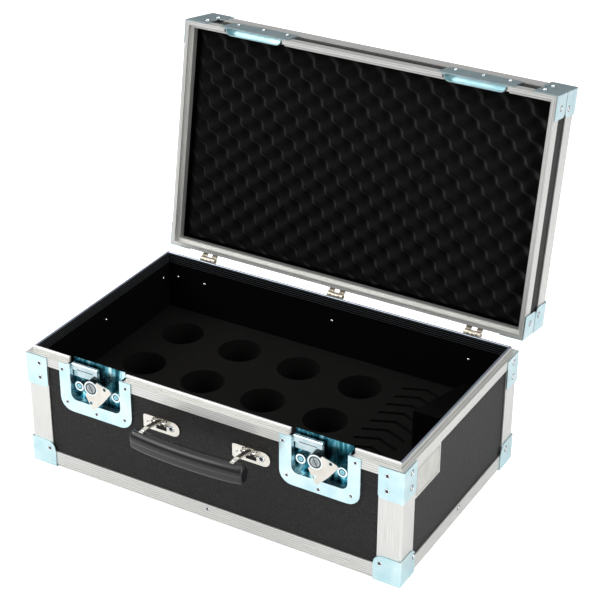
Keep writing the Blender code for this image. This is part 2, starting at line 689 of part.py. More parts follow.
def latch_wing(side, centre):
    """Folding wing, notched round the hub, which folds out about the hub's diameter."""
    x = centre + HUB_SHIFT
    notch = HUB_RADIUS + SEAT_GAP
    r = WING_CORNER_ROUND
    points = [(0, -WING_ROOT_HALF), (0, -notch)]
    points += arc((0, 0), notch, -math.pi / 2, math.pi / 2, 2 * QUARTER_STEPS)[1:-1]
    points += [(0, notch), (0, WING_ROOT_HALF)]
    points += arc((WING_CORNER_REACH, WING_CORNER_HALF), r, 0.6 * math.pi, 0, QUARTER_STEPS)
    points += [(WING_REACH, 0)]
    points += arc((WING_CORNER_REACH, -WING_CORNER_HALF), r, 0, -0.6 * math.pi, QUARTER_STEPS)
    turn = Matrix.Rotation(WING_REST_ANGLE, 2)
    outline = [tuple(Vector((x, HUB_Z)) + turn @ Vector(p)) for p in points]
    wing = place(f"latch_wing_{side}", prism(outline, "y", WING_OUTER, WING_OUTER + WING_THICKNESS), nickel(),
                 (x, WING_MIDDLE, HUB_Z))
    for sign in (-1, 1):
        spot = Vector((x, HUB_Z)) + turn @ Vector((WING_HOLE_REACH, sign * WING_HOLE_HALF))
        hole = prism(circle(spot, WING_HOLE_RADIUS, 10), "y", WING_OUTER - OVERRUN,
                     WING_OUTER + WING_THICKNESS + OVERRUN)
        combine(wing, hole, "DIFFERENCE")


def latch_hook(side, centre):
    """Hook plate behind the hub, folded over at its top."""
    back = LATCH_FACE + HOOK_DEPTH
    front = back - HOOK_THICKNESS
    lip = LATCH_FACE + HOOK_LIP_DEPTH
    low = HUB_Z + SHAFT_RADIUS + SEAT_GAP
    t = HOOK_THICKNESS
    points = [(back, low), (back, HOOK_TOP - t), (back - t, HOOK_TOP), (lip + t / 2, HOOK_TOP),
              (lip, HOOK_TOP - t / 2), (lip, HOOK_TOP - HOOK_LIP_DROP), (lip + t, HOOK_TOP - HOOK_LIP_DROP),
              (lip + t, HOOK_TOP - t), (front, HOOK_TOP - t), (front, low)]
    middle = centre + HOOK_SHIFT
    shape = prism(points, "x", middle - HOOK_WIDTH / 2, middle + HOOK_WIDTH / 2)
    place(f"latch_hook_{side}", shape, zinc(), (middle, back, low))


def latches():
    """Two recessed butterfly latches."""
    for side, centre in LATCH_CENTRES.items():
        latch_dish(side, centre)
        latch_spindle(side, centre)
        latch_wing(side, centre)
        latch_hook(side, centre)


def handle_plates():
    """Two plates, each with a window, two ears and a pin that carries the handle."""
    back = -PANEL_Y - SEAT_GAP
    face = back - HANDLE_PLATE_THICKNESS
    half = HANDLE_PLATE_WIDTH / 2
    ear_half = HANDLE_EAR_SPACING / 2
    eye = HANDLE_EAR_HALF_WIDTH
    for side in ("left", "right"):
        centre = SIGNS[side] * HANDLE_SPREAD / 2
        r, nose = HANDLE_PLATE_ROUND, HANDLE_PLATE_NOSE
        outline = rounded((centre - half, HANDLE_PLATE_LOW), (centre + half, HANDLE_PLATE_TOP), (nose, r, r, nose))
        plate = place(f"handle_plate_{side}", prism(outline, "y", face, back), nickel())
        half_window = ear_half - HANDLE_EAR_THICKNESS
        window = box((centre - half_window, face - OVERRUN, HANDLE_PLATE_LOW + HANDLE_WINDOW_MARGIN),
                     (centre + half_window, back + OVERRUN, HANDLE_PLATE_TOP - HANDLE_WINDOW_MARGIN))
        combine(plate, window, "DIFFERENCE")
        for sign in (-1, 1):
            inner = centre + sign * ear_half
            outer = inner + sign * HANDLE_EAR_THICKNESS
            top = [(face + STEEL / 2, HANDLE_AXIS.z - 2 * eye), (face + STEEL / 2, HANDLE_AXIS.z + eye)]
            nose_points = arc((back - HANDLE_EAR_HEIGHT + eye, HANDLE_AXIS.z), eye, math.pi / 2, 1.5 * math.pi)
            combine(plate, prism(top + nose_points, "x", min(inner, outer), max(inner, outer)), "UNION")
        pin = circle((HANDLE_AXIS.y, HANDLE_AXIS.z), HANDLE_PIN_RADIUS, 12)
        reach = ear_half + HANDLE_EAR_THICKNESS / 2
        combine(plate, prism(pin, "x", centre - reach, centre + reach), "UNION")


def handle_arm_outline():
    """Side view of a flat arm, from its curled eye to its end on the grip, as Y and Z."""
    y, z = HANDLE_AXIS.y, HANDLE_AXIS.z
    r, t = HANDLE_EYE_RADIUS, HANDLE_ARM_THICKNESS
    rear = GRIP_MIDDLE_Y + GRIP_THICKNESS / 2
    eye = arc((y, z), r, EYE_START_ANGLE, EYE_END_ANGLE, 3 * QUARTER_STEPS)
    return eye + [(y - r - t, z + r - 3 * t / 2), (rear, ARM_END_LOW), (ARM_END_Y, ARM_END_LOW),
                  (ARM_END_Y, ARM_END_LOW + t), (rear, ARM_END_LOW + t)]


def handle_band():
    """Flat steel arms, curled round the plates' pins and riveted through the grip to its core."""
    spread = HANDLE_SPREAD / 2
    half_core = HANDLE_CORE_WIDTH / 2
    half_arm = HANDLE_ARM_WIDTH / 2
    core = box((-spread - half_core, GRIP_MIDDLE_Y - half_core, GRIP_MIDDLE_Z - HANDLE_ARM_THICKNESS / 2),
               (spread + half_core, GRIP_MIDDLE_Y + half_core, GRIP_MIDDLE_Z + HANDLE_ARM_THICKNESS / 2))
    band = place("handle_band", core, nickel(), HANDLE_AXIS)
    for sign in (-1, 1):
        x = sign * spread
        combine(band, prism(handle_arm_outline(), "x", x - half_arm, x + half_arm), "UNION")
        rivet = circle((x, GRIP_MIDDLE_Y), HANDLE_RIVET_RADIUS, 12)
        combine(band, prism(rivet, "z", GRIP_MIDDLE_Z, ARM_END_LOW + HANDLE_ARM_THICKNESS / 2), "UNION")
        bore = prism(circle((HANDLE_AXIS.y, HANDLE_AXIS.z), HANDLE_PIN_RADIUS + SEAT_GAP, 12), "x",
                     x - half_arm - OVERRUN, x + half_arm + OVERRUN)
        combine(band, bore, "DIFFERENCE")


def grip_section(share):
    """One cross-section of the grip at a share of its half length, as centre and half sizes."""
    bow = GRIP_BOW * (1 - share ** 2)
    taper = 1 - GRIP_TAPER_SHARE * abs(share) ** 6
    centre = Vector((share * (HANDLE_SPREAD / 2 + GRIP_END_LENGTH), GRIP_MIDDLE_Y - bow, GRIP_MIDDLE_Z))
    return centre, GRIP_THICKNESS / 2 * taper, GRIP_HEIGHT / 2 * taper


def handle_grip():
    """Bowed grip with a step along both sides, hollowed for the core and the rivets."""
    station_shares = (-1, -0.96, -0.85, -0.6, -0.3, 0, 0.3, 0.6, 0.85, 0.96, 1)
    back_shares = ((0.5, -1), (0.86, -0.78), (0.88, -0.05), (1, 0.1), (0.94, 0.55), (0.5, 1))
    section_shares = back_shares + tuple((-a, b) for a, b in back_shares[::-1])
    shape = bmesh.new()
    rings = []
    for share in station_shares:
        centre, half_y, half_z = grip_section(share)
        ends = GRIP_END_SHARE if abs(share) == 1 else 1
        rings.append([shape.verts.new((centre.x, centre.y + a * half_y * ends, centre.z + b * half_z * ends))
                      for a, b in section_shares])
    count = len(section_shares)
    for here, there in zip(rings, rings[1:]):
        for i in range(count):
            j = (i + 1) % count
            shape.faces.new((here[i], here[j], there[j], there[i]))
    shape.faces.new(rings[0][::-1])
    shape.faces.new(rings[-1])
    grip = place("handle_grip", shape, black_plastic(), HANDLE_AXIS)
    smooth(grip, math.radians(50))
    spread = HANDLE_SPREAD / 2
    half_core = HANDLE_CORE_WIDTH / 2 + SEAT_GAP
    half_height = HANDLE_ARM_THICKNESS / 2 + SEAT_GAP
    core = box((-spread - half_core, GRIP_MIDDLE_Y - half_core, GRIP_MIDDLE_Z - half_height),
               (spread + half_core, GRIP_MIDDLE_Y + half_core, GRIP_MIDDLE_Z + half_height))
    combine(grip, core, "DIFFERENCE")
    for sign in (-1, 1):
        rivet = circle((sign * spread, GRIP_MIDDLE_Y), HANDLE_RIVET_RADIUS + SEAT_GAP, 12)
        combine(grip, prism(rivet, "z", GRIP_MIDDLE_Z, GRIP_TOP + OVERRUN), "DIFFERENCE")


def foam_insert():
    """Foam block cut out for round fittings and for flat blades, notched round the compartment."""
    left, right = -INNER_X + SEAT_GAP, INNER_X - SEAT_GAP
    front, back = -INNER_Y + SEAT_GAP, INNER_Y - SEAT_GAP
    notch_x, notch_y = BOX_LEFT - SEAT_GAP, BOX_FRONT - SEAT_GAP
    outline = [(left, front), (right, front), (right, notch_y), (notch_x, notch_y), (notch_x, back), (left, back)]
    insert = place("foam_insert", prism(outline, "z", FLOOR_TOP + SEAT_GAP, INSERT_TOP), foam())
    holes = bmesh.new()
    for column in range(HOLE_COLUMNS):
        for row in range(HOLE_ROWS):
            centre = (FIRST_HOLE_X + column * HOLE_COLUMN_PITCH, FIRST_HOLE_Y + row * HOLE_ROW_PITCH)
            prism(circle(centre, HOLE_RADIUS, HOLE_SIDES), "z", HOLE_BOTTOM, INSERT_TOP + OVERRUN, holes)
    for index in range(SLOT_COUNT):
        y = FIRST_SLOT_Y + index * SLOT_PITCH
        half = SLOT_WIDTH / 2
        rise = SLOT_RISE
        x = SLOT_APEX_X
        reach = SLOT_REACH
        outline = [(x - reach, y - rise - half), (x, y - half), (x + reach, y - rise - half),
                   (x + reach, y - rise + half), (x, y + half), (x - reach, y - rise + half)]
        prism(outline, "z", HOLE_BOTTOM, INSERT_TOP + OVERRUN, holes)
    combine(insert, holes, "DIFFERENCE")


def compartment():
    """Accessory compartment at the right rear: two boards and a lid that slopes down to its pivot at the back."""
    floor = FLOOR_TOP + SEAT_GAP
    t = BOX_PLYWOOD
    slope = math.tan(BOX_SLOPE)
    front_inner_top = BOX_FRONT_TOP - t * slope
    outline = [(BOX_FRONT, floor), (BOX_FRONT + t, floor), (BOX_FRONT + t, front_inner_top),
               (BOX_FRONT, BOX_FRONT_TOP)]
    place("compartment_front", prism(outline, "x", BOX_LEFT, INNER_X - SEAT_GAP), laminate())
    start = BOX_FRONT + t + SEAT_GAP
    outline = [(start, floor), (BOX_BACK, floor), (BOX_BACK, BOX_BACK_TOP),
               (start, BOX_FRONT_TOP - (start - BOX_FRONT) * slope)]
    place("compartment_side", prism(outline, "x", BOX_LEFT, BOX_LEFT + t), laminate())
    lift = SEAT_GAP / math.cos(BOX_SLOPE)
    rise = BOX_LID_THICKNESS / math.cos(BOX_SLOPE)
    back = BOX_BACK - BOX_LID_BACK_GAP
    low_back = BOX_FRONT_TOP - (back - BOX_FRONT) * slope + lift
    low_front = BOX_FRONT_TOP + lift
    half = BOX_LID_THICKNESS / 2
    axis = Vector((back - half, low_back + half / math.cos(BOX_SLOPE) + half * slope))
    nose = arc(axis, half, -math.pi / 2 - BOX_SLOPE, math.pi / 2 - BOX_SLOPE, 6)
    outline = [(BOX_FRONT, low_front), *nose, (BOX_FRONT, low_front + rise)]
    shape = prism(outline, "x", BOX_LEFT, ANGLE_X - RIM_INSET - BOX_LID_CLEARANCE)
    place("compartment_lid", shape, laminate(), (0, axis.x, axis.y))


def hinge_leaf(name, upward, centre, knuckles, parent=None):
    """A leaf on the back of the case, with a web and a barrel for each of its knuckles round the hinge axis."""
    y, z = HINGE_AXIS.y, HINGE_AXIS.z
    sign = 1 if upward else -1
    inner = ANGLE_Y + SEAT_GAP
    outer = inner + HINGE_LEAF_THICKNESS
    near = HINGE_LEAF_CLEARANCE
    far = near + HINGE_LEAF_HEIGHT
    half = HINGE_LEAF_WIDTH / 2
    plate = [(inner, z + sign * far), (outer, z + sign * far), (outer, z + sign * near), (inner, z + sign * near)]
    leaf = place(name, prism(plate, "x", centre - half, centre + half), brass(), HINGE_AXIS, parent)
    root = outer - HINGE_LEAF_THICKNESS / 2
    web = [(root, z + sign * (near + HINGE_LEAF_THICKNESS)), (y, z + sign * HINGE_BARREL_RADIUS / 2),
           (y - HINGE_BARREL_RADIUS / 2, z), (root, z + sign * near)]
    barrel = circle((y, z), HINGE_BARREL_RADIUS, 16)
    for start, end in knuckles:
        combine(leaf, prism(web, "x", start, end), "UNION", HINGE_AXIS, parent)
        combine(leaf, prism(barrel, "x", start, end), "UNION", HINGE_AXIS, parent)
    return leaf


def hinges(lid_axis):
    """Three stop hinges. The base leaf has the middle knuckle and the pin, the lid leaf the two outer ones."""
    y, z = HINGE_AXIS.y, HINGE_AXIS.z
    names = ("left", "middle", "right")
    third = HINGE_WIDTH / 3
    for index, name in enumerate(names):
        centre = HINGE_SHIFT + (index - 1) * (STEEL_X - HINGE_MARGIN)
        low, high = centre - HINGE_WIDTH / 2, centre + HINGE_WIDTH / 2
        middle = (low + third + SEAT_GAP / 2, high - third - SEAT_GAP / 2)
        base = hinge_leaf(f"hinge_base_leaf_{name}", False, centre, [middle])
        pin = prism(circle((y, z), HINGE_PIN_RADIUS, 12), "x", low - HINGE_PIN_HEAD, high + HINGE_PIN_HEAD)
        combine(base, pin, "UNION", HINGE_AXIS)
        outer = [(low, low + third - SEAT_GAP / 2), (high - third + SEAT_GAP / 2, high)]
        lid = hinge_leaf(f"hinge_lid_leaf_{name}", True, centre, outer, lid_axis)
        for start, end in outer:
            bore = prism(circle((y, z), HINGE_PIN_RADIUS + SEAT_GAP, 12), "x", start - OVERRUN, end + OVERRUN)
            combine(lid, bore, "DIFFERENCE", HINGE_AXIS, lid_axis)


def lid_boards(lid_axis):
    """Top panel and walls of the lid, drawn closed and carried by the lid's axis."""
    place("lid_panel", box((-PANEL_X, -PANEL_Y, LID_PANEL_BOTTOM), (PANEL_X, PANEL_Y, LID_PANEL_TOP)), laminate(),
          HINGE_AXIS, lid_axis)
    low = LID_WEB_TOP + SEAT_GAP
    high = LID_PANEL_BOTTOM - SEAT_GAP
    walls = place("lid_walls", box((-PANEL_X, -PANEL_Y, low), (PANEL_X, PANEL_Y, high)), laminate(),
                  HINGE_AXIS, lid_axis)
    room = box((-INNER_X, -INNER_Y, low - OVERRUN), (INNER_X, INNER_Y, high + OVERRUN))
    combine(walls, room, "DIFFERENCE", HINGE_AXIS, lid_axis)
    for centre in LATCH_CENTRES.values():
        half = KEEPER_RIM_CUT / 2
        top = KEEPER_TRAY_TOP + SEAT_GAP
        cut = box((centre - half, -PANEL_Y - OVERRUN, low - OVERRUN), (centre + half, -INNER_Y + OVERRUN, top))
        combine(walls, cut, "DIFFERENCE", HINGE_AXIS, lid_axis)


def lid_rim_profile():
    """Channel over the lid wall's edge, stepped back for the tongue of the base."""
    groove = TONGUE_INSET - GROOVE_CLEARANCE
    web_low = LID_LAND + GROOVE_DEPTH
    return [(0, LID_LAND), (groove, LID_LAND), (groove, web_low), (RIM_INSET, web_low), (RIM_INSET, LID_RIM_TOP),
            (LEG_INSET, LID_RIM_TOP), (LEG_INSET, LID_WEB_TOP), (ALUMINIUM, LID_WEB_TOP), (ALUMINIUM, LID_RIM_TOP),
            (0, LID_RIM_TOP)]


def lid_metal(lid_axis):
    """Rim and edge extrusions of the lid, its steel corners and its braces."""
    rim = place("lid_rim", edge_ring(lid_rim_profile()), aluminium(), HINGE_AXIS, lid_axis)
    for centre in LATCH_CENTRES.values():
        half = KEEPER_RIM_CUT / 2
        cut = box((centre - half, -ANGLE_Y - OVERRUN, LID_LAND - OVERRUN),
                  (centre + half, -ANGLE_Y + RIM_INSET + OVERRUN, KEEPER_TRAY_TOP + SEAT_GAP))
        combine(rim, cut, "DIFFERENCE", HINGE_AXIS, lid_axis)
    profile = [(inset, 2 * LID_ANGLE_TOP - height)
               for inset, height in angle_profile(LID_ANGLE_LEG, LID_ANGLE_TOP)]
    place("lid_edge_frame", edge_ring(profile), aluminium(), HINGE_AXIS, lid_axis)
    for side_x in ("left", "right"):
        for side_y in ("front", "back"):
            sx, sy = SIGNS[side_x], SIGNS[side_y]
            corner = (sx * STEEL_X, sy * STEEL_Y, LID_TOP)
            shape = corner_plate((sx, sy, 1), LID_CORNER_LEG, LID_CORNER_ROUND, corner)
            press_shell(f"lid_corner_{side_y}_{side_x}", shape, (sx, sy, 1), zinc(), HINGE_AXIS, lid_axis)
            low = LID_LAND + BRACE_LAND_DROP / 2
            brace(f"lid_rim_brace_{side_y}_{side_x}", sx, sy, LID_BRACE_LEG, low, low + LID_BRACE_HEIGHT,
                  False, True, HINGE_AXIS, lid_axis)


def keeper(side, centre, lid_axis):
    """Keeper plate of a latch: a flange over the lid's face and a tray that the hook rises into."""
    half = KEEPER_FLANGE_WIDTH / 2
    low = LID_LAND + SEAT_GAP
    r = KEEPER_FLANGE_ROUND
    outline = rounded((centre - half, low), (centre + half, low + KEEPER_FLANGE_HEIGHT), (0, 0, r, r))
    plate = place(f"keeper_{side}", prism(outline, "y", LATCH_FACE, -PANEL_Y - SEAT_GAP), zinc(),
                  HINGE_AXIS, lid_axis)
    for sign in (-1, 1):
        edges = sorted((centre + sign * (KEEPER_RIM_CUT / 2 - SEAT_GAP), centre + sign * (half + OVERRUN)))
        relief = box((edges[0], -ANGLE_Y - SEAT_GAP, low - OVERRUN), (edges[1], -PANEL_Y, LID_RIM_TOP + SEAT_GAP))
        combine(plate, relief, "DIFFERENCE", HINGE_AXIS, lid_axis)
    strip = box((centre - half - OVERRUN, -ANGLE_Y - SEAT_GAP, KEEPER_TRAY_TOP),
                (centre + half + OVERRUN, -PANEL_Y, LID_RIM_TOP + SEAT_GAP))
    combine(plate, strip, "DIFFERENCE", HINGE_AXIS, lid_axis)
    tray = KEEPER_TRAY_WIDTH / 2
    face = LATCH_FACE
    back = face + KEEPER_TRAY_DEPTH
    top = LID_LAND + KEEPER_TRAY_RISE
    tr = KEEPER_TRAY_ROUND
    outer = rounded((centre - tray, face + STEEL / 2), (centre + tray, back), (0, 0, tr, tr))
    combine(plate, prism(outer, "z", low, KEEPER_TRAY_TOP), "UNION", HINGE_AXIS, lid_axis)
    inner = rounded((centre - tray + STEEL, face + STEEL), (centre + tray - STEEL, back - STEEL),
                    (0, 0, tr - STEEL, tr - STEEL))
    combine(plate, prism(inner, "z", low - OVERRUN, top), "DIFFERENCE", HINGE_AXIS, lid_axis)
    smooth(plate)


def lid_foam(lid_axis):
    """Foam of the lid, as a plain slab up to the level of its peaks."""
    half_x = INNER_X - LID_FOAM_EDGE
    half_y = INNER_Y - LID_FOAM_EDGE
    slab = box((-half_x, -half_y, LID_LAND + LID_FOAM_PEAK), (half_x, half_y, LID_PANEL_BOTTOM - SEAT_GAP))
    place("lid_foam", slab, foam(), HINGE_AXIS, lid_axis)


def centre_on_floor():
    """Move the whole case along Y until its overall outline is centred over the origin."""
    bpy.context.view_layer.update()
    graph = bpy.context.evaluated_depsgraph_get()
    reach = []
    for obj in bpy.data.objects:
        if obj.type == "MESH" and not obj.hide_render:
            shown = obj.evaluated_get(graph)
            reach += [(shown.matrix_world @ Vector(corner)).y for corner in shown.bound_box]
    middle = (min(reach) + max(reach)) / 2
    for obj in bpy.data.objects:
        if obj.parent is None:
            obj.location.y -= middle


def build():
    """Clear the scene and build the case."""
    for obj in list(bpy.data.objects):
        bpy.data.objects.remove(obj, do_unlink=True)
    base_panels()
    base_edges()
    base_rim()
    base_corners()
    label_plate()
    latches()
    handle_plates()
    handle_band()
    handle_grip()
    foam_insert()
    compartment()
    lid_axis = axis_empty("lid_axis", HINGE_AXIS, -LID_OPENING)
    hinges(lid_axis)
    lid_boards(lid_axis)
    lid_metal(lid_axis)
    for side, centre in LATCH_CENTRES.items():
        keeper(side, centre, lid_axis)
    lid_foam(lid_axis)
    centre_on_floor()


build()
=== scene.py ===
"""Looks of the lighting tour case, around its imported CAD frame: finishes, rivets, foam, studio and camera."""

import math

import bmesh
import bpy
from mathutils import Matrix, Vector


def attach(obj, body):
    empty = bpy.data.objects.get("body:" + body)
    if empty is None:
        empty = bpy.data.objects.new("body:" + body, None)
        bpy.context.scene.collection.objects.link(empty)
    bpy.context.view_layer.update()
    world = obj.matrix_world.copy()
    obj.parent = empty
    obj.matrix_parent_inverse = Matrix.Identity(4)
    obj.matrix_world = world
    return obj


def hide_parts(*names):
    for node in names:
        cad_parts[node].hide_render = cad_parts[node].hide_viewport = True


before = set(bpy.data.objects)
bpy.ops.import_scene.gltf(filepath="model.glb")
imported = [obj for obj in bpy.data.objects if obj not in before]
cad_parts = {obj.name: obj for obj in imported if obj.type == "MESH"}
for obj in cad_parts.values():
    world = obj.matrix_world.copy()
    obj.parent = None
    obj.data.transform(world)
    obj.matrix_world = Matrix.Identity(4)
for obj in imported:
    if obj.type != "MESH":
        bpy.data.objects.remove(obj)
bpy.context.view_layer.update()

CASE_WIDTH = 0.560
CASE_Y = -0.041375
LID_OPENING = math.radians(99.8)
STEEL_X = 0.280
STEEL_Y = 0.1665
ANGLE_X = 0.2785
ANGLE_Y = 0.1650
PARTING = 0.1703
HINGE_Y = 0.1745
INNER_X = 0.2702
INNER_Y = 0.1567
OPEN = Matrix.Translation((0, HINGE_Y, PARTING)) @ Matrix.Rotation(-LID_OPENING, 4, "X") @ Matrix.Translation(
    (0, -HINGE_Y, -PARTING))
LATCHES = {"left": -0.1686, "right": 0.1650}
HUB_SHIFT = -0.0045
HUB_Z = 0.1465
HUB_RADIUS = 0.0105
POST_OFFSET = 0.029
POST_Z = 0.1388
HOOK_SHIFT = -0.018
TONGUE_TOP = 0.1770
RIM_INSET = 0.0098
HINGE_X = 0.0022
KNUCKLE_PITCH = 0.0066
HANDLE_X = 0.067
ARM_TOP = 0.1378
GRIP_MIDDLE = Vector((0, -0.2055, 0.12245))
GRIP_HALF = Vector((0.0825, 0.010, 0.01325))
GRIP_BOW = 0.005
CRATE_PITCH = 0.01765
CRATE_GAP = 0.0018
CRATE_RELIEF = 0.018
CRATE_TOP = 0.2308
LABEL_FACE = 0.27777
LABEL_MIDDLE = (-0.09725, 0.13315)
LABEL_HALF = (0.03415, 0.02225)
LABEL_LINE_INSET = 0.0042
LABEL_RIVET_HALF = (0.0316, 0.0197)
LABEL_RIVET = 0.0013
LARGE_RIVET = 0.0033
FRAME_RIVET = 0.0028
INNER_RIVET = 0.0022
PLATE_RIVET = 0.0042
ARM_RIVET = 0.0019
INSERT_GAP = 0.0003
HOLE_RADIUS = 0.0305
HOLE_PITCH = 0.0963
HOLE_FLOOR = 0.0285
HOLE_ABOVE = 0.0905
SLOT_PITCH = 0.0231
PHOTO_AZIMUTH = math.radians(29.939)
PHOTO_ELEVATION = math.radians(28.77)
PHOTO_ROLL = math.radians(0.267)
PHOTO_TARGET = Vector((-0.11675, 0.33031, 0.25))
PHOTO_DISTANCE_SHARE = 4.38562
FOCAL_PIXELS = 1724.3
PICTURE_PIXELS = 600
SENSOR = 36


class Shader:
    """Builds one node material, a node at a time."""

    def __init__(self, name):
        self.material = bpy.data.materials.new(name)
        self.material.use_nodes = True
        self.tree = self.material.node_tree
        self.surface = self.tree.nodes["Principled BSDF"]

    def node(self, kind, **settings):
        """A node with its settings."""
        made = self.tree.nodes.new(kind)
        for key, value in settings.items():
            setattr(made, key, value)
        return made

    def feed(self, socket, value):
        """Links a socket, or sets a plain value."""
        if hasattr(value, "is_output"):
            self.tree.links.new(value, socket)
        else:
            socket.default_value = value

    def math(self, operation, a, b=0.0, c=0.0):
        """A maths node's result."""
        made = self.node("ShaderNodeMath", operation=operation)
        for socket, value in zip(made.inputs, (a, b, c)):
            self.feed(socket, value)
        return made.outputs[0]

    def coordinates(self, on_lid=False):
        """Place in the case's own frame. A piece of the lid is turned back to where it is when closed."""
        shift = self.node("ShaderNodeVectorMath", operation="SUBTRACT")
        self.feed(shift.inputs[0], self.node("ShaderNodeTexCoord").outputs["Object"])
        self.feed(shift.inputs[1], (0, CASE_Y, 0))
        place = shift.outputs[0]
        if not on_lid:
            return place
        turn = self.node("ShaderNodeVectorRotate", rotation_type="X_AXIS")
        self.feed(turn.inputs["Vector"], place)
        self.feed(turn.inputs["Center"], (0, HINGE_Y, PARTING))
        self.feed(turn.inputs["Angle"], LID_OPENING)
        return turn.outputs[0]

    def split(self, vector):
        """X, Y and Z of a vector."""
        made = self.node("ShaderNodeSeparateXYZ")
        self.feed(made.inputs[0], vector)
        return made.outputs

    def join(self, x, y, z):
        """A vector from three values."""
        made = self.node("ShaderNodeCombineXYZ")
        for socket, value in zip(made.inputs, (x, y, z)):
            self.feed(socket, value)
        return made.outputs[0]

    def noise(self, vector, scale, detail=3.0, roughness=0.5):
        """Noise from 0 to 1."""
        made = self.node("ShaderNodeTexNoise")
        self.feed(made.inputs["Vector"], vector)
        made.inputs["Scale"].default_value = scale
        made.inputs["Detail"].default_value = detail
        made.inputs["Roughness"].default_value = roughness
        return made.outputs["Fac"]

    def cells(self, vector, scale, feature="F1"):
        """Distance in a cell pattern."""
        made = self.node("ShaderNodeTexVoronoi", feature=feature)
        self.feed(made.inputs["Vector"], vector)
        made.inputs["Scale"].default_value = scale
        return made.outputs["Distance"]

    def ramp(self, value, *stops):
        """A colour ramp of (position, colour) stops."""
        made = self.node("ShaderNodeValToRGB")
        self.feed(made.inputs[0], value)
        elements = made.color_ramp.elements
        while len(elements) < len(stops):
            elements.new(0.5)
        for element, (position, colour) in zip(elements, stops):
            element.position = position
            element.color = (*colour, 1)
        return made.outputs[0]

    def between(self, value, low, high):
        """Rises smoothly from 0 to 1 between two values."""
        made = self.node("ShaderNodeMapRange", interpolation_type="SMOOTHSTEP")
        for socket, number in zip(made.inputs, (value, low, high, 0.0, 1.0)):
            self.feed(socket, number)
        return made.outputs[0]

    def mix(self, share, first, second):
        """The first colour where the share is 0, the second where it is 1."""
        made = self.node("ShaderNodeMix", data_type="RGBA")
        self.feed(made.inputs[0], share)
        for socket, value in ((made.inputs[6], first), (made.inputs[7], second)):
            self.feed(socket, (*value, 1) if isinstance(value, tuple) else value)
        return made.outputs[2]

    def radius(self, a, b):
        """Length of a two-part vector."""
        return self.math("SQRT", self.math("ADD", self.math("MULTIPLY", a, a), self.math("MULTIPLY", b, b)))

    def from_latch(self, x):
        """X measured from the middle of the nearer latch."""
        right = self.math("GREATER_THAN", x, 0.0)
        centre = self.math("MULTIPLY_ADD", right, LATCHES["right"] - LATCHES["left"], LATCHES["left"])
        return self.math("SUBTRACT", x, centre)

    def bump(self, height, strength, distance):
        """Feeds the surface's normal from a height."""
        made = self.node("ShaderNodeBump")
        made.inputs["Strength"].default_value = strength
        made.inputs["Distance"].default_value = distance
        self.feed(made.inputs["Height"], height)
        self.feed(self.surface.inputs["Normal"], made.outputs[0])

    def set(self, **values):
        """Sets the surface's sockets."""
        names = {"colour": "Base Color", "roughness": "Roughness", "metallic": "Metallic",
                 "specular": "Specular IOR Level", "coat": "Coat Weight", "coat_roughness": "Coat Roughness"}
        for key, value in values.items():
            if key == "colour" and isinstance(value, tuple):
                value = (*value, 1)
            self.feed(self.surface.inputs[names[key]], value)
        return self


def laminate(name, on_lid=False, colour=(0.0035, 0.0033, 0.0031), lift=(0.016, 0.0152, 0.0144)):
    """Leather-grained black laminate, with painted shade inside the case."""
    s = Shader(name)
    place = s.coordinates(on_lid)
    warp = s.noise(place, 260, 2)
    shifted = s.node("ShaderNodeVectorMath", operation="MULTIPLY_ADD")
    s.feed(shifted.inputs[0], s.join(warp, warp, warp))
    s.feed(shifted.inputs[1], (0.0022, 0.0022, 0.0022))
    s.feed(shifted.inputs[2], place)
    grain = s.cells(shifted.outputs[0], 420, "SMOOTH_F1")
    fine = s.noise(place, 1500, 2)
    height = s.math("MULTIPLY_ADD", fine, 0.25, grain)
    s.bump(height, 0.9, 0.0007)
    tone = s.ramp(grain, (0.15, colour), (0.75, lift))
    x, y, z = s.split(place)
    # painted shade: inside the case, on the inner walls, the floor and the compartment boards, the laminate takes a
    # flat darker colour and less shine
    inside = s.math("MULTIPLY", s.math("LESS_THAN", s.math("ABSOLUTE", x), INNER_X + 0.001),
                    s.math("LESS_THAN", s.math("ABSOLUTE", y), INNER_Y + 0.001))
    inside = s.math("MULTIPLY", inside, s.math("GREATER_THAN", z, 0.004))
    s.set(colour=s.mix(inside, tone, (0.0016, 0.0015, 0.0015)), roughness=0.5,
          specular=s.math("MULTIPLY_ADD", inside, -0.15, 0.2))
    return s.material


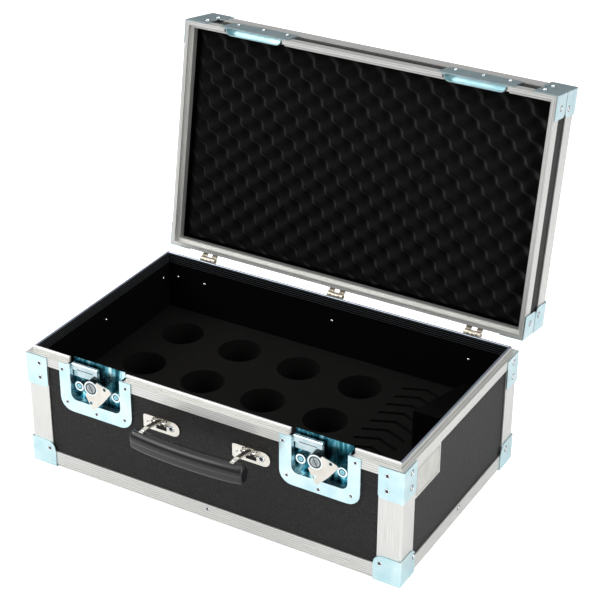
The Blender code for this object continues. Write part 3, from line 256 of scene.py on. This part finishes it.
def aluminium(name, direction, on_lid=False, relief=1.0):
    """Anodised extrusion with fine ribs along its length, with painted shade and light on it. The direction is x, y,
    z, or ring for a mitred frame.
    """
    s = Shader(name)
    place = s.coordinates(on_lid)
    x, y, z = s.split(place)
    if direction == "ring":
        side = s.math("GREATER_THAN", s.math("SUBTRACT", s.math("ABSOLUTE", x), ANGLE_X - ANGLE_Y),
                      s.math("ABSOLUTE", y))
        across = s.math("ADD", s.math("MULTIPLY", side, x), s.math("MULTIPLY", s.math("SUBTRACT", 1.0, side), y))
        across = s.math("ADD", across, z)
        along = s.math("ADD", s.math("MULTIPLY", side, y), s.math("MULTIPLY", s.math("SUBTRACT", 1.0, side), x))
    else:
        across = {"x": s.math("ADD", y, z), "y": s.math("ADD", x, z), "z": s.math("ADD", x, y)}[direction]
        along = {"x": x, "y": y, "z": z}[direction]
    ribs = s.math("SINE", s.math("MULTIPLY", across, 2 * math.pi / 0.0033))
    ribs = s.math("POWER", s.math("MULTIPLY_ADD", ribs, 0.5, 0.5), 4.0)
    brushed = s.noise(s.join(s.math("MULTIPLY", across, 2600.0), s.math("MULTIPLY", along, 22.0), 0.0), 1.0, 4)
    s.bump(s.math("MULTIPLY_ADD", ribs, relief, s.math("MULTIPLY", brushed, 0.3)), 0.35, 0.0003)
    # painted shade: the colour darkens along the ribs, on top of their real bump
    tone = s.math("MULTIPLY_ADD", ribs, -0.4 * relief, s.math("MULTIPLY", brushed, 0.9))
    colour = s.ramp(tone, (0.0, (0.42, 0.42, 0.405)), (0.6, (0.72, 0.72, 0.69)))
    if not on_lid and direction != "z":
        past = s.math("MAXIMUM", s.math("SUBTRACT", s.math("ABSOLUTE", x), ANGLE_X - ANGLE_Y), s.math("ABSOLUTE", y))
        inner = s.math("LESS_THAN", past, ANGLE_Y - RIM_INSET + 0.0004)
        # painted shade on the rim's inner leg, near black, with thin painted highlight lines along it
        painted_leg_lines = s.math("SINE", s.math("MULTIPLY", z, 2 * math.pi / 0.0031))
        painted_leg_tone = s.ramp(painted_leg_lines, (0.80, (0.006, 0.0065, 0.007)), (0.97, (0.30, 0.32, 0.34)))
        colour = s.mix(inner, colour, painted_leg_tone)
        # painted light on the tongue's top: a pale band on the front rims, a bluish grey reflection on the side and
        # back rims
        top = s.between(z, TONGUE_TOP - 0.0009, TONGUE_TOP - 0.0005)
        painted_top_tone = (0.30, 0.34, 0.40) if direction == "ring" else (0.62, 0.63, 0.62)
        colour = s.mix(top, colour, painted_top_tone)
    s.set(colour=colour, metallic=0.85, roughness=s.math("MULTIPLY_ADD", brushed, 0.15, 0.34))
    return s.material


def plated(name, colour, tint, roughness, metallic=1.0, scale=38):
    """Bright plated steel, with the faint clouding of its plating."""
    s = Shader(name)
    place = s.coordinates()
    cloud = s.noise(place, scale, 4)
    fine = s.noise(place, 900, 2)
    s.bump(s.math("MULTIPLY_ADD", fine, 0.3, cloud), 0.08, 0.0006)
    s.set(colour=s.ramp(cloud, (0.30, colour), (0.72, tint)), metallic=metallic,
          roughness=s.math("MULTIPLY_ADD", fine, 0.12, roughness))
    return s.material


def latch_finish():
    """Zinc plating of the latch dishes, with painted shade and streaked painted reflections in the cup, and painted
    rings of highlight and shade on the two posts.
    """
    s = Shader("latch_zinc")
    place = s.coordinates()
    x, y, z = s.split(place)
    cloud = s.noise(place, 38, 4)
    fine = s.noise(place, 900, 2)
    pale = s.ramp(cloud, (0.30, (0.48, 0.68, 0.73)), (0.72, (0.66, 0.81, 0.83)))
    depth = s.math("ADD", y, STEEL_Y)
    # painted shade in the deep part of the cup, with streaks of painted reflection
    painted_reflection_streaks = s.noise(s.join(s.math("MULTIPLY", x, 95.0), 0.0, s.math("MULTIPLY", z, 17.0)), 1.0, 2)
    painted_cup_shade_and_reflections = s.ramp(painted_reflection_streaks, (0.34, (0.006, 0.045, 0.060)), (0.47, (0.022, 0.13, 0.17)), (0.55, (0.15, 0.42, 0.50)),
                  (0.63, (0.62, 0.84, 0.88)))
    colour = s.mix(s.between(depth, 0.0050, 0.0110), pale, painted_cup_shade_and_reflections)
    across = s.math("SUBTRACT", s.math("ABSOLUTE", s.from_latch(x)), POST_OFFSET)
    ring = s.math("MULTIPLY", s.radius(across, s.math("SUBTRACT", z, POST_Z)), 100.0)
    # painted rings of highlight and shade round each post
    painted_post_rings = s.ramp(ring, (0.0, (0.10, 0.30, 0.38)), (0.28, (0.32, 0.60, 0.68)), (0.36, (0.01, 0.06, 0.08)),
                  (0.45, (0.02, 0.10, 0.13)), (0.50, (0.80, 0.90, 0.92)), (0.66, (0.74, 0.88, 0.90)),
                  (0.71, (0.01, 0.05, 0.06)))
    inside = s.math("MULTIPLY", s.math("LESS_THAN", ring, 0.72), s.math("GREATER_THAN", depth, 0.004))
    colour = s.mix(inside, colour, painted_post_rings)
    s.bump(s.math("MULTIPLY_ADD", fine, 0.3, cloud), 0.08, 0.0006)
    s.set(colour=colour, metallic=1.0, roughness=s.math("MULTIPLY_ADD", fine, 0.12, 0.2))
    return s.material


def hub_finish():
    """Plated hub with a turned face, painted rings of highlight and shade on it, a dark slot, and painted shade on
    its side.
    """
    s = Shader("hub_zinc")
    place = s.coordinates()
    x, y, z = s.split(place)
    across = s.math("SUBTRACT", s.from_latch(x), HUB_SHIFT)
    upward = s.math("SUBTRACT", z, HUB_Z)
    share = s.math("DIVIDE", s.radius(across, upward), HUB_RADIUS)
    turned = s.noise(s.join(s.math("MULTIPLY", share, 14.0), 0.0, 0.0), 1.0, 2)
    # painted rings of shade and highlight across the hub's face
    face = s.ramp(share, (0.0, (0.36, 0.39, 0.40)), (0.30, (0.20, 0.23, 0.24)), (0.55, (0.42, 0.46, 0.47)),
                  (0.66, (0.04, 0.055, 0.06)), (0.78, (0.05, 0.065, 0.07)), (0.84, (0.70, 0.76, 0.77)),
                  (0.97, (0.80, 0.86, 0.87)))
    slot = s.math("LESS_THAN", s.math("ABSOLUTE", s.math("ADD", across, s.math("MULTIPLY", upward, 0.5))), 0.0007)
    slot = s.math("MULTIPLY", slot, s.math("LESS_THAN", share, 0.58))
    face = s.mix(slot, face, (0.03, 0.035, 0.04))
    # painted shade on the hub's side
    side = s.between(y, -STEEL_Y - 0.0022, -STEEL_Y - 0.0018)
    s.bump(turned, 0.2, 0.0004)
    s.set(colour=s.mix(side, face, (0.055, 0.075, 0.08)), metallic=1.0, roughness=0.28)
    return s.material


def hook_finish():
    """Plated hook plate with a slot near its top."""
    s = Shader("hook_zinc")
    place = s.coordinates()
    x, y, z = s.split(place)
    cloud = s.noise(place, 60, 3)
    pale = s.ramp(cloud, (0.30, (0.36, 0.48, 0.51)), (0.72, (0.60, 0.68, 0.69)))
    across = s.math("ABSOLUTE", s.math("SUBTRACT", s.from_latch(x), HOOK_SHIFT))
    upward = s.math("ABSOLUTE", s.math("SUBTRACT", z, 0.1640))
    slot = s.math("MULTIPLY", s.math("LESS_THAN", across, 0.0125), s.math("LESS_THAN", upward, 0.00055))
    s.bump(cloud, 0.08, 0.0006)
    s.set(colour=s.mix(slot, pale, (0.03, 0.05, 0.055)), metallic=1.0, roughness=0.24)
    return s.material


def foam_finish(name, on_lid=False, colour=(0.0025, 0.0022, 0.0020), lift=(0.013, 0.0115, 0.010)):
    """Open-pored black foam; on the lid, painted highlights on the slopes of its relief that face left and down."""
    s = Shader(name)
    place = s.coordinates(on_lid)
    pores = s.cells(place, 900)
    fine = s.noise(place, 1700, 3)
    s.bump(s.math("MULTIPLY_ADD", fine, 0.6, pores), 0.5, 0.0007)
    tone = s.ramp(fine, (0.3, colour), (0.75, lift))
    if on_lid:
        x, y, z = s.split(place)
        turns = [s.math("MULTIPLY", s.math("ADD", a, half), math.pi * round(2 * half / CRATE_PITCH) / (2 * half))
                 for a, half in ((x, INNER_X - CRATE_GAP), (y, INNER_Y - CRATE_GAP))]
        # painted highlights on the slopes of the egg-crate relief, on top of its real relief in the mesh
        facing_left = s.math("MULTIPLY", s.math("SINE", turns[0]), s.math("COSINE", turns[1]))
        facing_down = s.math("MULTIPLY", s.math("COSINE", turns[0]), s.math("SINE", turns[1]))
        painted_slope_light = s.math("ADD", s.math("MULTIPLY", facing_left, -0.8), s.math("MULTIPLY", facing_down, 0.6))
        tone = s.mix(s.between(painted_slope_light, 0.25, 1.0), tone, (0.034, 0.034, 0.034))
    s.set(colour=tone, roughness=0.95, specular=0.06)
    return s.material


def grip_finish():
    """Moulded black grip."""
    s = Shader("grip")
    place = s.coordinates()
    fine = s.noise(place, 1300, 2)
    s.bump(fine, 0.12, 0.0003)
    s.set(colour=s.ramp(fine, (0.3, (0.004, 0.004, 0.0045)), (0.7, (0.009, 0.009, 0.010))), roughness=0.3,
          specular=0.42)
    return s.material


def hinge_finish():
    """Bronzed hinge knuckles with light slots between them."""
    s = Shader("brass")
    place = s.coordinates()
    x, y, z = s.split(place)
    cloud = s.noise(place, 120, 3)
    bronze = s.ramp(cloud, (0.30, (0.26, 0.23, 0.18)), (0.72, (0.46, 0.42, 0.35)))
    beat = s.math("FRACT", s.math("DIVIDE", s.math("ADD", x, HINGE_X + 10 * KNUCKLE_PITCH), KNUCKLE_PITCH))
    slot = s.math("LESS_THAN", s.math("ABSOLUTE", s.math("SUBTRACT", beat, 0.5)), 0.3)
    near = s.math("LESS_THAN", s.math("ABSOLUTE", s.math("SUBTRACT", z, PARTING + 0.0008)), 0.0017)
    s.bump(cloud, 0.15, 0.0005)
    s.set(colour=s.mix(s.math("MULTIPLY", slot, near), bronze, (0.72, 0.66, 0.54)), metallic=0.9, roughness=0.34)
    return s.material


def label_finish():
    """Bare silver label plate with a fine frame line."""
    s = Shader("label_metal")
    place = s.coordinates()
    x, y, z = s.split(place)
    cloud = s.noise(place, 60, 4)
    fine = s.noise(place, 1500, 2)
    silver = s.ramp(cloud, (0.30, (0.44, 0.44, 0.41)), (0.72, (0.56, 0.56, 0.52)))
    along = s.math("SUBTRACT", LABEL_HALF[0], s.math("ABSOLUTE", s.math("SUBTRACT", y, LABEL_MIDDLE[0])))
    upward = s.math("SUBTRACT", LABEL_HALF[1], s.math("ABSOLUTE", s.math("SUBTRACT", z, LABEL_MIDDLE[1])))
    inset = s.math("MINIMUM", along, upward)
    line = s.math("LESS_THAN", s.math("ABSOLUTE", s.math("SUBTRACT", inset, LABEL_LINE_INSET)), 0.0003)
    s.bump(s.math("MULTIPLY_ADD", fine, 0.4, cloud), 0.1, 0.0005)
    s.set(colour=s.mix(line, silver, (0.14, 0.14, 0.14)), metallic=0.75, roughness=0.4)
    return s.material


def dark(name, colour, roughness=0.6):
    """Painted shade for dark hollows and shadow lines, with a little dust in it."""
    s = Shader(name)
    dust = s.noise(s.coordinates(), 700, 3)
    lighter = tuple(2.2 * c for c in colour)
    s.set(colour=s.ramp(dust, (0.3, colour), (0.8, lighter)), roughness=roughness, metallic=0.3)
    return s.material


ZINC = plated("zinc", (0.46, 0.66, 0.70), (0.64, 0.79, 0.81), 0.24)
LATCH_ZINC = latch_finish()
HUB_ZINC = hub_finish()
HOOK_ZINC = hook_finish()
NICKEL = plated("nickel", (0.56, 0.54, 0.49), (0.72, 0.70, 0.64), 0.20)
BRASS = hinge_finish()
RIVET_STEEL = plated("rivet_steel", (0.60, 0.64, 0.65), (0.80, 0.83, 0.83), 0.18)
LABEL = label_finish()
RIVET_SHADE = dark("rivet_painted_shade", (0.02, 0.022, 0.024))
FOAM = foam_finish("insert_foam", False, (0.0016, 0.0015, 0.0014), (0.007, 0.0064, 0.0058))
LID_FOAM = foam_finish("egg_crate_foam", True, (0.0014, 0.0014, 0.0014), (0.010, 0.0098, 0.0098))
GRIP = grip_finish()
OUTER = laminate("laminate")
LID_OUTER = laminate("lid_laminate", True)
BOARD = laminate("compartment_board", False, (0.005, 0.005, 0.0048), (0.018, 0.0175, 0.017))
METAL = {key: aluminium(f"aluminium_{key}", key, False, relief) for key, relief in
         (("x", 1.0), ("z", 0.25), ("ring", 1.0))}
LID_METAL = aluminium("lid_aluminium", "ring", True)


def finish_for(name):
    """The finish of a CAD node, from its name."""
    if name == "label_plate":
        return LABEL
    if name == "lid_foam":
        return LID_FOAM
    if name == "foam_insert":
        return FOAM
    if name == "handle_grip":
        return GRIP
    if name.startswith("compartment"):
        return BOARD
    if name.startswith(("lid_panel", "lid_walls")):
        return LID_OUTER
    if name.endswith("_panel"):
        return OUTER
    if name in ("lid_rim", "lid_edge_frame"):
        return LID_METAL
    if name.startswith("base_corner_angle"):
        return METAL["z"]
    if name.startswith("base_rim_front"):
        return METAL["x"]
    if name in ("base_rim_sides_and_back", "base_bottom_edge_frame"):
        return METAL["ring"]
    if name.startswith("hinge"):
        return BRASS
    if name.startswith("latch_dish"):
        return LATCH_ZINC
    if name.startswith("latch_spindle"):
        return HUB_ZINC
    if name.startswith("latch_hook"):
        return HOOK_ZINC
    if name.startswith(("handle", "latch_wing")):
        return NICKEL
    return ZINC


def dress_frame():
    """Gives each CAD node its finish and shades its round stretches smooth."""
    for name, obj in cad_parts.items():
        obj.data.materials.clear()
        obj.data.materials.append(finish_for(name))
        obj.data.shade_smooth()
        obj.data.set_sharp_from_angle(angle=math.radians(32))


def new_object(name, shape, *materials):
    """A bmesh as an object of the scene, moved from the case's own frame into the shared one."""
    bmesh.ops.translate(shape, verts=shape.verts, vec=(0, CASE_Y, 0))
    mesh = bpy.data.meshes.new(name)
    shape.to_mesh(mesh)
    shape.free()
    obj = bpy.data.objects.new(name, mesh)
    bpy.context.scene.collection.objects.link(obj)
    for material in materials:
        mesh.materials.append(material)
    return obj


def lathe(shape, matrix, profile, sides=20, material=0, closed=True):
    """Turns a profile of (radius, height) round Z of the matrix."""
    rings = []
    for radius, height in profile:
        if radius == 0:
            rings.append([shape.verts.new(matrix @ Vector((0, 0, height)))])
        else:
            rings.append([shape.verts.new(matrix @ Vector((radius * math.cos(2 * math.pi * i / sides),
                                                           radius * math.sin(2 * math.pi * i / sides), height)))
                          for i in range(sides)])
    for here, there in zip(rings, rings[1:]):
        for i in range(sides):
            j = (i + 1) % sides
            if len(here) == 1:
                face = shape.faces.new((here[0], there[j], there[i]))
            elif len(there) == 1:
                face = shape.faces.new((here[i], here[j], there[0]))
            else:
                face = shape.faces.new((here[i], here[j], there[j], there[i]))
            face.material_index = material
            face.smooth = True


def facing(point, normal):
    """A matrix at a point whose Z is the normal."""
    normal = Vector(normal).normalized()
    return Matrix.Translation(point) @ normal.to_track_quat("Z", "Y").to_matrix().to_4x4()


def rivet(shape, point, normal, radius=LARGE_RIVET, hollow=True):
    """A cup rivet: a rounded ring round painted shade in its hollow, on a flat ring of painted shadow, or a plain
    domed head.
    """
    matrix = facing(point, normal)
    r = radius
    if hollow:
        # a flat ring of painted shadow round the rivet's foot
        lathe(shape, matrix, [(1.3 * r, 0.01 * r), (1.0 * r, 0.04 * r)], material=1)
        lathe(shape, matrix, [(r, 0), (0.98 * r, 0.16 * r), (0.84 * r, 0.28 * r), (0.72 * r, 0.27 * r),
                              (0.66 * r, 0.14 * r), (0.64 * r, -0.05 * r)])
        # painted shade filling the rivet's hollow
        lathe(shape, matrix, [(0.65 * r, 0.06 * r), (0.2 * r, 0.05 * r), (0, 0.05 * r)], material=1)
    else:
        lathe(shape, matrix, [(r, 0), (0.92 * r, 0.22 * r), (0.6 * r, 0.42 * r), (0, 0.5 * r)])


def base_rivets():
    """Rivets through the base's steel corners, braces, latches and edge angles."""
    shape = bmesh.new()
    w = CASE_WIDTH / 1000
    steel_front, steel_side = -STEEL_Y, STEEL_X
    front, side, back = (0, -1, 0), (1, 0, 0), (0, 1, 0)
    for sign in (-1, 1):
        x = sign * 0.2505
        rivet(shape, (x, steel_front, 0.0275), front)
        rivet(shape, (x, -steel_front, 0.0275), back)
        for z in (0.1585, 0.1367):
            rivet(shape, (sign * 0.2575, steel_front, z), front)
            rivet(shape, (sign * 0.2575, -steel_front, z), back)
            rivet(shape, (sign * steel_side, -0.1450, z), (sign, 0, 0))
            rivet(shape, (sign * steel_side, 0.1510, z), (sign, 0, 0))
        for y in (-0.1320, 0.1430):
            rivet(shape, (sign * steel_side, y, 0.0270), (sign, 0, 0))
            rivet(shape, (sign * 0.2505, y, 0), (0, 0, -1), FRAME_RIVET)
        rivet(shape, (sign * ANGLE_X, 0, 0.0175), (sign, 0, 0), FRAME_RIVET)
    rivet(shape, (0, -ANGLE_Y, 0.0172), front, FRAME_RIVET)
    rivet(shape, (0, ANGLE_Y, 0.0172), back, FRAME_RIVET)
    for side_name, spots in {"left": ((-392.5, 287), (-383, 201), (-300, 192), (-220, 201), (-214, 288)),
                             "right": ((203, 288), (213, 201), (293, 190), (373.5, 201), (382.6, 290))}.items():
        for x, z in spots:
            rivet(shape, (x * w, steel_front, z * w), front, FRAME_RIVET)
    for sign in (-1, 1):
        rivet(shape, (sign * 0.067 - 0.0205, -0.1650, 0.1225), front, INNER_RIVET)
        rivet(shape, (sign * 0.067 + 0.0150, -0.1650, 0.1222), front, PLATE_RIVET)
    obj = new_object("base_rivets", shape, RIVET_STEEL, RIVET_SHADE)
    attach(obj, "case")


def inner_rivets():
    """Closed rivet ends on the inner walls."""
    shape = bmesh.new()
    w = CASE_WIDTH / 1000
    for x in (-456, -373.7, 3.9, 378.2):
        rivet(shape, (x * w, INNER_Y, 248 * w), (0, -1, 0), INNER_RIVET, False)
    rivet(shape, (-INNER_X, 254.7 * w, 249 * w), (1, 0, 0), INNER_RIVET, False)
    for y in (-0.145, 0.0):
        rivet(shape, (-INNER_X, y, 0.1390), (1, 0, 0), INNER_RIVET, False)
        rivet(shape, (INNER_X, y, 0.1390), (-1, 0, 0), INNER_RIVET, False)
    obj = new_object("inner_rivets", shape, RIVET_STEEL, RIVET_SHADE)
    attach(obj, "case")


def lid_rivets():
    """Rivets through the lid's corners, braces and keepers, placed closed and then opened with it."""
    shape = bmesh.new()
    front = (0, -1, 0)
    for sign in (-1, 1):
        for sy in (-1, 1):
            rivet(shape, (sign * STEEL_X, sy * 0.1465, PARTING + 0.0185), (sign, 0, 0))
            rivet(shape, (sign * STEEL_X, sy * 0.1420, PARTING + 0.0465), (sign, 0, 0))
            rivet(shape, (sign * 0.2545, sy * STEEL_Y, PARTING + 0.0185), (0, sy, 0))
            rivet(shape, (sign * 0.2545, sy * STEEL_Y, PARTING + 0.0465), (0, sy, 0))
            rivet(shape, (sign * 0.2545, sy * 0.1420, PARTING + 0.072), (0, 0, 1), FRAME_RIVET)
    for centre in LATCHES.values():
        for offset in (-0.0405, 0, 0.0375):
            rivet(shape, (centre + offset, -STEEL_Y, PARTING + 0.0285), front, FRAME_RIVET)
    bmesh.ops.transform(shape, matrix=OPEN, verts=shape.verts)
    obj = new_object("lid_rivets", shape, RIVET_STEEL, RIVET_SHADE)
    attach(obj, "lid")


def egg_crate():
    """Convoluted foam of the lid, with round peaks and hollows."""
    half_x, half_y = INNER_X - CRATE_GAP, INNER_Y - CRATE_GAP
    columns, rows = round(2 * half_x / CRATE_PITCH), round(2 * half_y / CRATE_PITCH)
    fine = 7
    peak = PARTING + 0.0092
    shape = bmesh.new()
    grid = []
    for i in range(columns * fine + 1):
        line = []
        for j in range(rows * fine + 1):
            wave = math.cos(math.pi * i / fine) * math.cos(math.pi * j / fine)
            share = (0.5 - 0.5 * wave) ** 0.85
            margin = min(i, columns * fine - i, j, rows * fine - j) / fine
            share += (1 - share) * max(0, 1 - margin / 0.9) ** 0.6
            line.append(shape.verts.new((-half_x + 2 * half_x * i / (columns * fine),
                                         -half_y + 2 * half_y * j / (rows * fine), peak + CRATE_RELIEF * share)))
        grid.append(line)
    for a, b in zip(grid, grid[1:]):
        for j in range(len(a) - 1):
            shape.faces.new((a[j], a[j + 1], b[j + 1], b[j])).smooth = True
    corners = [shape.verts.new((x, y, CRATE_TOP)) for x, y in
               ((-half_x, -half_y), (half_x, -half_y), (half_x, half_y), (-half_x, half_y))]
    shape.faces.new(corners)
    edges = [[line[0] for line in grid], grid[-1], [line[-1] for line in grid][::-1], grid[0][::-1]]
    for k, edge in enumerate(edges):
        shape.faces.new([*edge, corners[(k + 1) % 4], corners[k]])
    bmesh.ops.transform(shape, matrix=OPEN, verts=shape.verts)
    bmesh.ops.recalc_face_normals(shape, faces=shape.faces)
    obj = new_object("egg_crate_foam", shape, LID_FOAM)
    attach(obj, "lid")
    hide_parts("lid_foam")


def prism(shape, outline, low, high):
    """An outline extruded along Z."""
    rings = [[shape.verts.new((x, y, z)) for x, y in outline] for z in (low, high)]
    shape.faces.new(rings[0][::-1])
    shape.faces.new(rings[1])
    for i in range(len(outline)):
        j = (i + 1) % len(outline)
        shape.faces.new((rings[0][i], rings[0][j], rings[1][j], rings[1][i]))


def insert():
    """Foam insert with round holes and chevron slots."""
    left, right = -INNER_X + INSERT_GAP, INNER_X - INSERT_GAP
    front, back = -INNER_Y + INSERT_GAP, INNER_Y - INSERT_GAP
    notch_x, notch_y = 0.2107, -0.0063
    shape = bmesh.new()
    prism(shape, [(left, front), (right, front), (right, notch_y), (notch_x, notch_y), (notch_x, back),
                  (left, back)], 0.0101, 0.0885)
    obj = new_object("cut_foam_insert", shape, FOAM)
    holes = bmesh.new()
    for column in range(4):
        for row in range(3):
            x, y = -0.2075 + column * HOLE_PITCH, -0.0017 + (row - 1) * HOLE_PITCH
            turns = [2 * math.pi * i / 56 for i in range(56)]
            circle = [(x + HOLE_RADIUS * math.cos(turn), y + HOLE_RADIUS * math.sin(turn)) for turn in turns]
            prism(holes, circle, HOLE_FLOOR, HOLE_ABOVE)
    for index in range(12):
        x, y = 0.1641, 0.1335 - index * SLOT_PITCH
        half, reach, rise = 0.003, 0.0316, 0.0130
        prism(holes, [(x - reach, y - rise - half), (x, y - half), (x + reach, y - rise - half),
                      (x + reach, y - rise + half), (x, y + half), (x - reach, y - rise + half)], HOLE_FLOOR, HOLE_ABOVE)
    tool = new_object("insert_holes", holes)
    cut = obj.modifiers.new("holes", "BOOLEAN")
    cut.operation = "DIFFERENCE"
    cut.solver = "EXACT"
    cut.object = tool
    bpy.context.view_layer.update()
    mesh = bpy.data.meshes.new_from_object(obj.evaluated_get(bpy.context.evaluated_depsgraph_get()))
    obj.modifiers.clear()
    obj.data = mesh
    bpy.data.objects.remove(tool, do_unlink=True)
    mesh.shade_smooth()
    mesh.set_sharp_from_angle(angle=math.radians(32))
    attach(obj, "case")
    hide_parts("foam_insert")


def grip():
    """Moulded grip with a rounded step along both sides, and the heads of the rivets on its arms."""
    section = [(0.5, -1), (0.86, -0.78), (0.88, -0.05), (1, 0.1), (0.94, 0.55), (0.5, 1)]
    section += [(-a, b) for a, b in section[::-1]]
    for _ in range(2):
        softer = []
        for here, there in zip(section, section[1:] + section[:1]):
            softer += [tuple(0.75 * a + 0.25 * b for a, b in zip(here, there)),
                       tuple(0.25 * a + 0.75 * b for a, b in zip(here, there))]
        section = softer
    stations = [(i / 24, 1.0) for i in range(-23, 24)]
    rounding = [(1 - 0.03 * (1 - math.sin(a)), 0.80 + 0.20 * math.cos(a))
                for a in (math.radians(angle) for angle in (25, 50, 75, 90))]
    stations = [(-place, size) for place, size in rounding[::-1]] + stations + rounding
    shape = bmesh.new()
    rings = []
    for place, size in stations:
        taper = size * (1 - 0.10 * abs(place) ** 6)
        y = GRIP_MIDDLE.y - GRIP_BOW * (1 - place ** 2)
        rings.append([shape.verts.new((place * GRIP_HALF.x, y + a * GRIP_HALF.y * taper,
                                       GRIP_MIDDLE.z + b * GRIP_HALF.z * taper)) for a, b in section])
    for here, there in zip(rings, rings[1:]):
        for i in range(len(section)):
            j = (i + 1) % len(section)
            shape.faces.new((here[i], here[j], there[j], there[i])).smooth = True
    shape.faces.new(rings[0][::-1])
    shape.faces.new(rings[-1])
    bmesh.ops.recalc_face_normals(shape, faces=shape.faces)
    obj = new_object("moulded_grip", shape, GRIP)
    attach(obj, "handle")
    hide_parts("handle_grip")
    heads = bmesh.new()
    for sign in (-1, 1):
        rivet(heads, (sign * HANDLE_X, GRIP_MIDDLE.y, ARM_TOP), (0, 0, 1), ARM_RIVET, False)
    obj = new_object("arm_rivet_heads", heads, RIVET_STEEL)
    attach(obj, "handle")


def label_rivets():
    """Small domed rivets at the label plate's corners."""
    shape = bmesh.new()
    for sign_y in (-1, 1):
        for sign_z in (-1, 1):
            spot = (LABEL_FACE, LABEL_MIDDLE[0] + sign_y * LABEL_RIVET_HALF[0],
                    LABEL_MIDDLE[1] + sign_z * LABEL_RIVET_HALF[1])
            rivet(shape, spot, (1, 0, 0), LABEL_RIVET, False)
    obj = new_object("label_rivets", shape, RIVET_STEEL)
    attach(obj, "case")


def studio():
    """Pale floor, white surroundings and soft boxes."""
    shape = bmesh.new()
    bmesh.ops.create_grid(shape, x_segments=1, y_segments=1, size=6)
    s = Shader("floor")
    path = s.node("ShaderNodeLightPath")
    s.set(colour=(0.86, 0.86, 0.86), roughness=0.9, specular=0.1)
    s.feed(s.surface.inputs["Emission Color"], (1, 1, 1, 1))
    s.feed(s.surface.inputs["Emission Strength"], s.math("MULTIPLY", path.outputs["Is Camera Ray"], 0.55))
    new_object("floor", shape, s.material)
    world = bpy.data.worlds.new("studio")
    bpy.context.scene.world = world
    world.use_nodes = True
    nodes, links = world.node_tree.nodes, world.node_tree.links
    background = nodes["Background"]
    path = nodes.new("ShaderNodeLightPath")
    mix = nodes.new("ShaderNodeMix")
    mix.data_type = "RGBA"
    parts = nodes.new("ShaderNodeSeparateXYZ")
    links.new(nodes.new("ShaderNodeTexCoord").outputs["Generated"], parts.inputs[0])
    sky = nodes.new("ShaderNodeValToRGB")
    stops = ((0.0, 0.20), (0.22, 0.16), (0.42, 0.60), (1.0, 0.85))
    while len(sky.color_ramp.elements) < len(stops):
        sky.color_ramp.elements.new(0.5)
    for element, (position, level) in zip(sky.color_ramp.elements, stops):
        element.position = position
        element.color = (level, level, 1.03 * level, 1)
    links.new(parts.outputs["Z"], sky.inputs[0])
    links.new(sky.outputs[0], mix.inputs[6])
    mix.inputs[7].default_value = (1, 1, 1, 1)
    links.new(path.outputs["Is Camera Ray"], mix.inputs[0])
    links.new(mix.outputs[2], background.inputs["Color"])
    background.inputs["Strength"].default_value = 1.0
    for name, spot, size, power, target in (
            ("key", (-1.4, -1.7, 2.1), 1.5, 38, (0, 0, 0.15)),
            ("fill", (2.3, -0.4, 1.0), 1.6, 44, (0, 0, 0.15)),
            ("side", (-1.9, -0.35, 1.7), 0.6, 18, (0, 0.2, 0.35)),
            ("top", (0.0, 0.1, 2.6), 1.8, 20, (0, 0, 0.2))):
        light = bpy.data.lights.new(name, "AREA")
        light.shape = "SQUARE"
        light.size = size
        light.energy = power
        lamp = bpy.data.objects.new(name, light)
        bpy.context.scene.collection.objects.link(lamp)
        lamp.location = spot
        lamp.rotation_euler = (Vector(spot) - Vector(target)).to_track_quat("Z", "Y").to_euler()
    bpy.context.scene.view_settings.view_transform = "Standard"


def camera():
    """The photograph's viewpoint."""
    azimuth, elevation, roll = PHOTO_AZIMUTH, PHOTO_ELEVATION, PHOTO_ROLL
    right = Vector((math.cos(azimuth), math.sin(azimuth), 0))
    back = Vector((math.sin(azimuth) * math.cos(elevation), -math.cos(azimuth) * math.cos(elevation),
                   math.sin(elevation)))
    up = back.cross(right)
    across = math.cos(roll) * right + math.sin(roll) * up
    upward = -math.sin(roll) * right + math.cos(roll) * up
    target = PHOTO_TARGET * CASE_WIDTH + Vector((0, CASE_Y, 0))
    spot = target + back * PHOTO_DISTANCE_SHARE * CASE_WIDTH
    data = bpy.data.cameras.new("camera")
    data.sensor_width = SENSOR
    data.lens = FOCAL_PIXELS / PICTURE_PIXELS * SENSOR
    data.clip_start = 0.1
    data.clip_end = 50
    obj = bpy.data.objects.new("camera", data)
    bpy.context.scene.collection.objects.link(obj)
    obj.matrix_world = Matrix.Translation(spot) @ Matrix((across, upward, back)).transposed().to_4x4()
    bpy.context.scene.camera = obj


dress_frame()
base_rivets()
inner_rivets()
lid_rivets()
egg_crate()
insert()
grip()
label_rivets()
studio()
camera()
